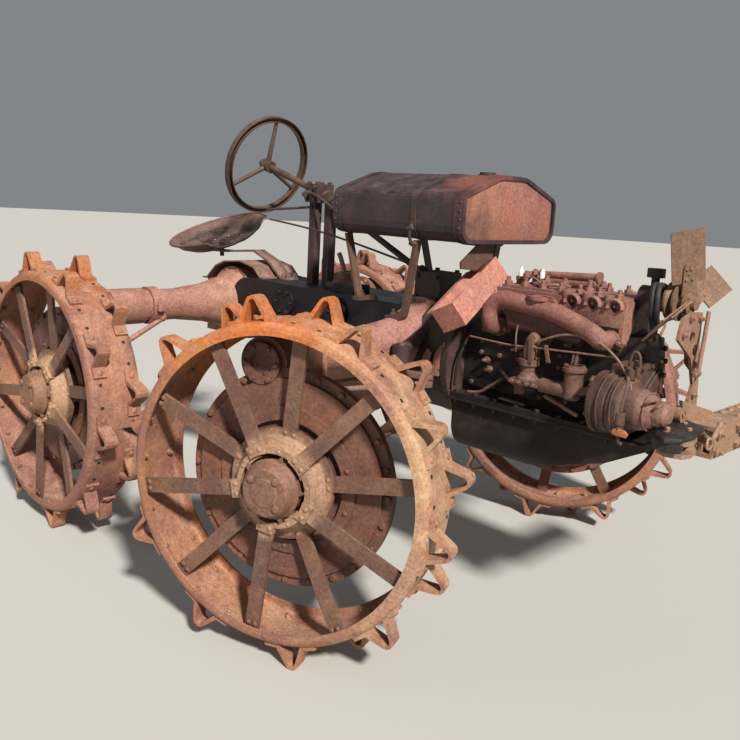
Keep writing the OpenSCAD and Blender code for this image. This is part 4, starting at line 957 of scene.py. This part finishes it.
# Tool box. It is an open sheet-steel tray that hangs slanted under the tank's front end, faded to
# a salmon pink; its lid is gone.
box_coat = rusted("tool box paint", "a87060", "9c5a45", "d09a8a", 0.5, 0.8, relief=0.0012)
coat_nodes(box_coat, "tool_box")

# Steering gear, column and wheel. The wheel's shaft runs through a box on two posts, then falls
# under the tank to the gear above the front axle; the wheel is a rolled channel on three spokes.
steer_coat = rusted("column rust", "39292a", "51362d", "6c5a55", 0.4, 0.4)
coat_nodes(steer_coat, "steering_column", "steering_gear", "steering_shaft")
wheel_coat = rusted("hand wheel rust", "46352d", "573c2f", "7b6558", 0.5, 0.45, relief=0.001)
coat_nodes(wheel_coat, "steering_wheel")
BLOCK_BOLT_X = (-700, -652)
set_out("column_bolts", hex_bolt(0.009, 0.008),
        [lay(at(x, y, 875), (0, 0, 1)) for x in BLOCK_BOLT_X for y in (-28, 40)]
        + [lay(at(x, -40, z), (0, -1, 0)) for x in BLOCK_BOLT_X for z in (815, 862)], steer_coat)
set_out("gear_cover_bolts", hex_bolt(0.009, 0.008),
        [lay(at(x, y, 583), (0, 0, 1)) for x in (-48, 46) for y in (-48, 48)]
        + [lay(at(x, s * 60, z), (0, s, 0)) for x in (-46, 44) for z in (490, 568) for s in (-1, 1)],
        steer_coat, *RUSTED_IRON)
SHAFT_TILT = radians(16.7)
hub_axis = Vector((-cos(SHAFT_TILT), 0, sin(SHAFT_TILT)))
set_out("wheel_nut", hex_bolt(0.020, 0.016, 0.012), [lay(at(-1020, 0, 945) + hub_axis * 0.020, hub_axis)],
        wheel_coat, "steering_wheel", "rusted_steel")
bar_along("lever_rod", route((-690, -44, 842), (-620, -52, 826), (-560, -56, 800), (-470, -70, 766),
        (-291, -100, 720)), 0.006, steer_coat)
bar_along("spark_rod", route((-938, -60, 759), (-800, -52, 768), (-684, -20, 782)), 0.0055, steer_coat)
bar_along("throttle_link", route((-915, -60, 718), (-668, -66, 700), (-300, -140, 664), (24, -206, 622)),
        0.004, steer_coat)
bar_along("column_clamp", route((-668, -52, 838), (-668, -66, 838), (-660, -96, 832), (-640, -104, 828)),
        0.010, steer_coat)

# Seat. A pressed steel pan with a notched front and drain holes is bolted to a flat spring that
# reaches back from the gearbox; a bent sheet covers the axle below it.
SEAT = (Matrix.Translation(at(-1366, -12, 646)) @ Matrix.Rotation(radians(-3), 4, "Y")
        @ Matrix.Rotation(radians(20), 4, "X"))
# The seat coat paints the pan's inside near-black, out to near its edge, as painted shade; the lip stays
# lighter.
seat_coat = rusted("seat rust with painted shade", "5d463f", "704a3d", "987a6e", 0.5, 0.5, relief=0.0014,
                   spots=[(SEAT @ Vector((0, 0, -0.05)), 0.185, 0.205, "2b1f1c")])
coat_nodes(seat_coat, "seat")
LIP_R = 0.233
lip = [SEAT @ Vector((LIP_R * cos(a), LIP_R * sin(a), 0.001)) for a in map(radians, range(54, 307, 9))]
bar_along("seat_lip", lip, 0.0055, rusted("seat lip rust", "6b5148", "7d5344", "a08275", 0.4, 0.5,
        relief=0.0014))
coat_nodes(rusted("spring rust", "70544a", "7c523f", "a5897c", 0.4, 0.6), "seat_spring", "rear_cover")
coat_nodes(hanger_coat, "drawbar")
set_out("seat_nut", hex_bolt(0.017, 0.011, 0.008), [lay(at(-1366, 12, 582), (0, 0.2, 1))], seat_coat)
set_out("spring_bolts", hex_bolt(0.012, 0.010, 0.006),
        [lay(at(x, y, 475), (0, 0, 1)) for x in (-858, -832) for y in (-18, 18)], seat_coat)
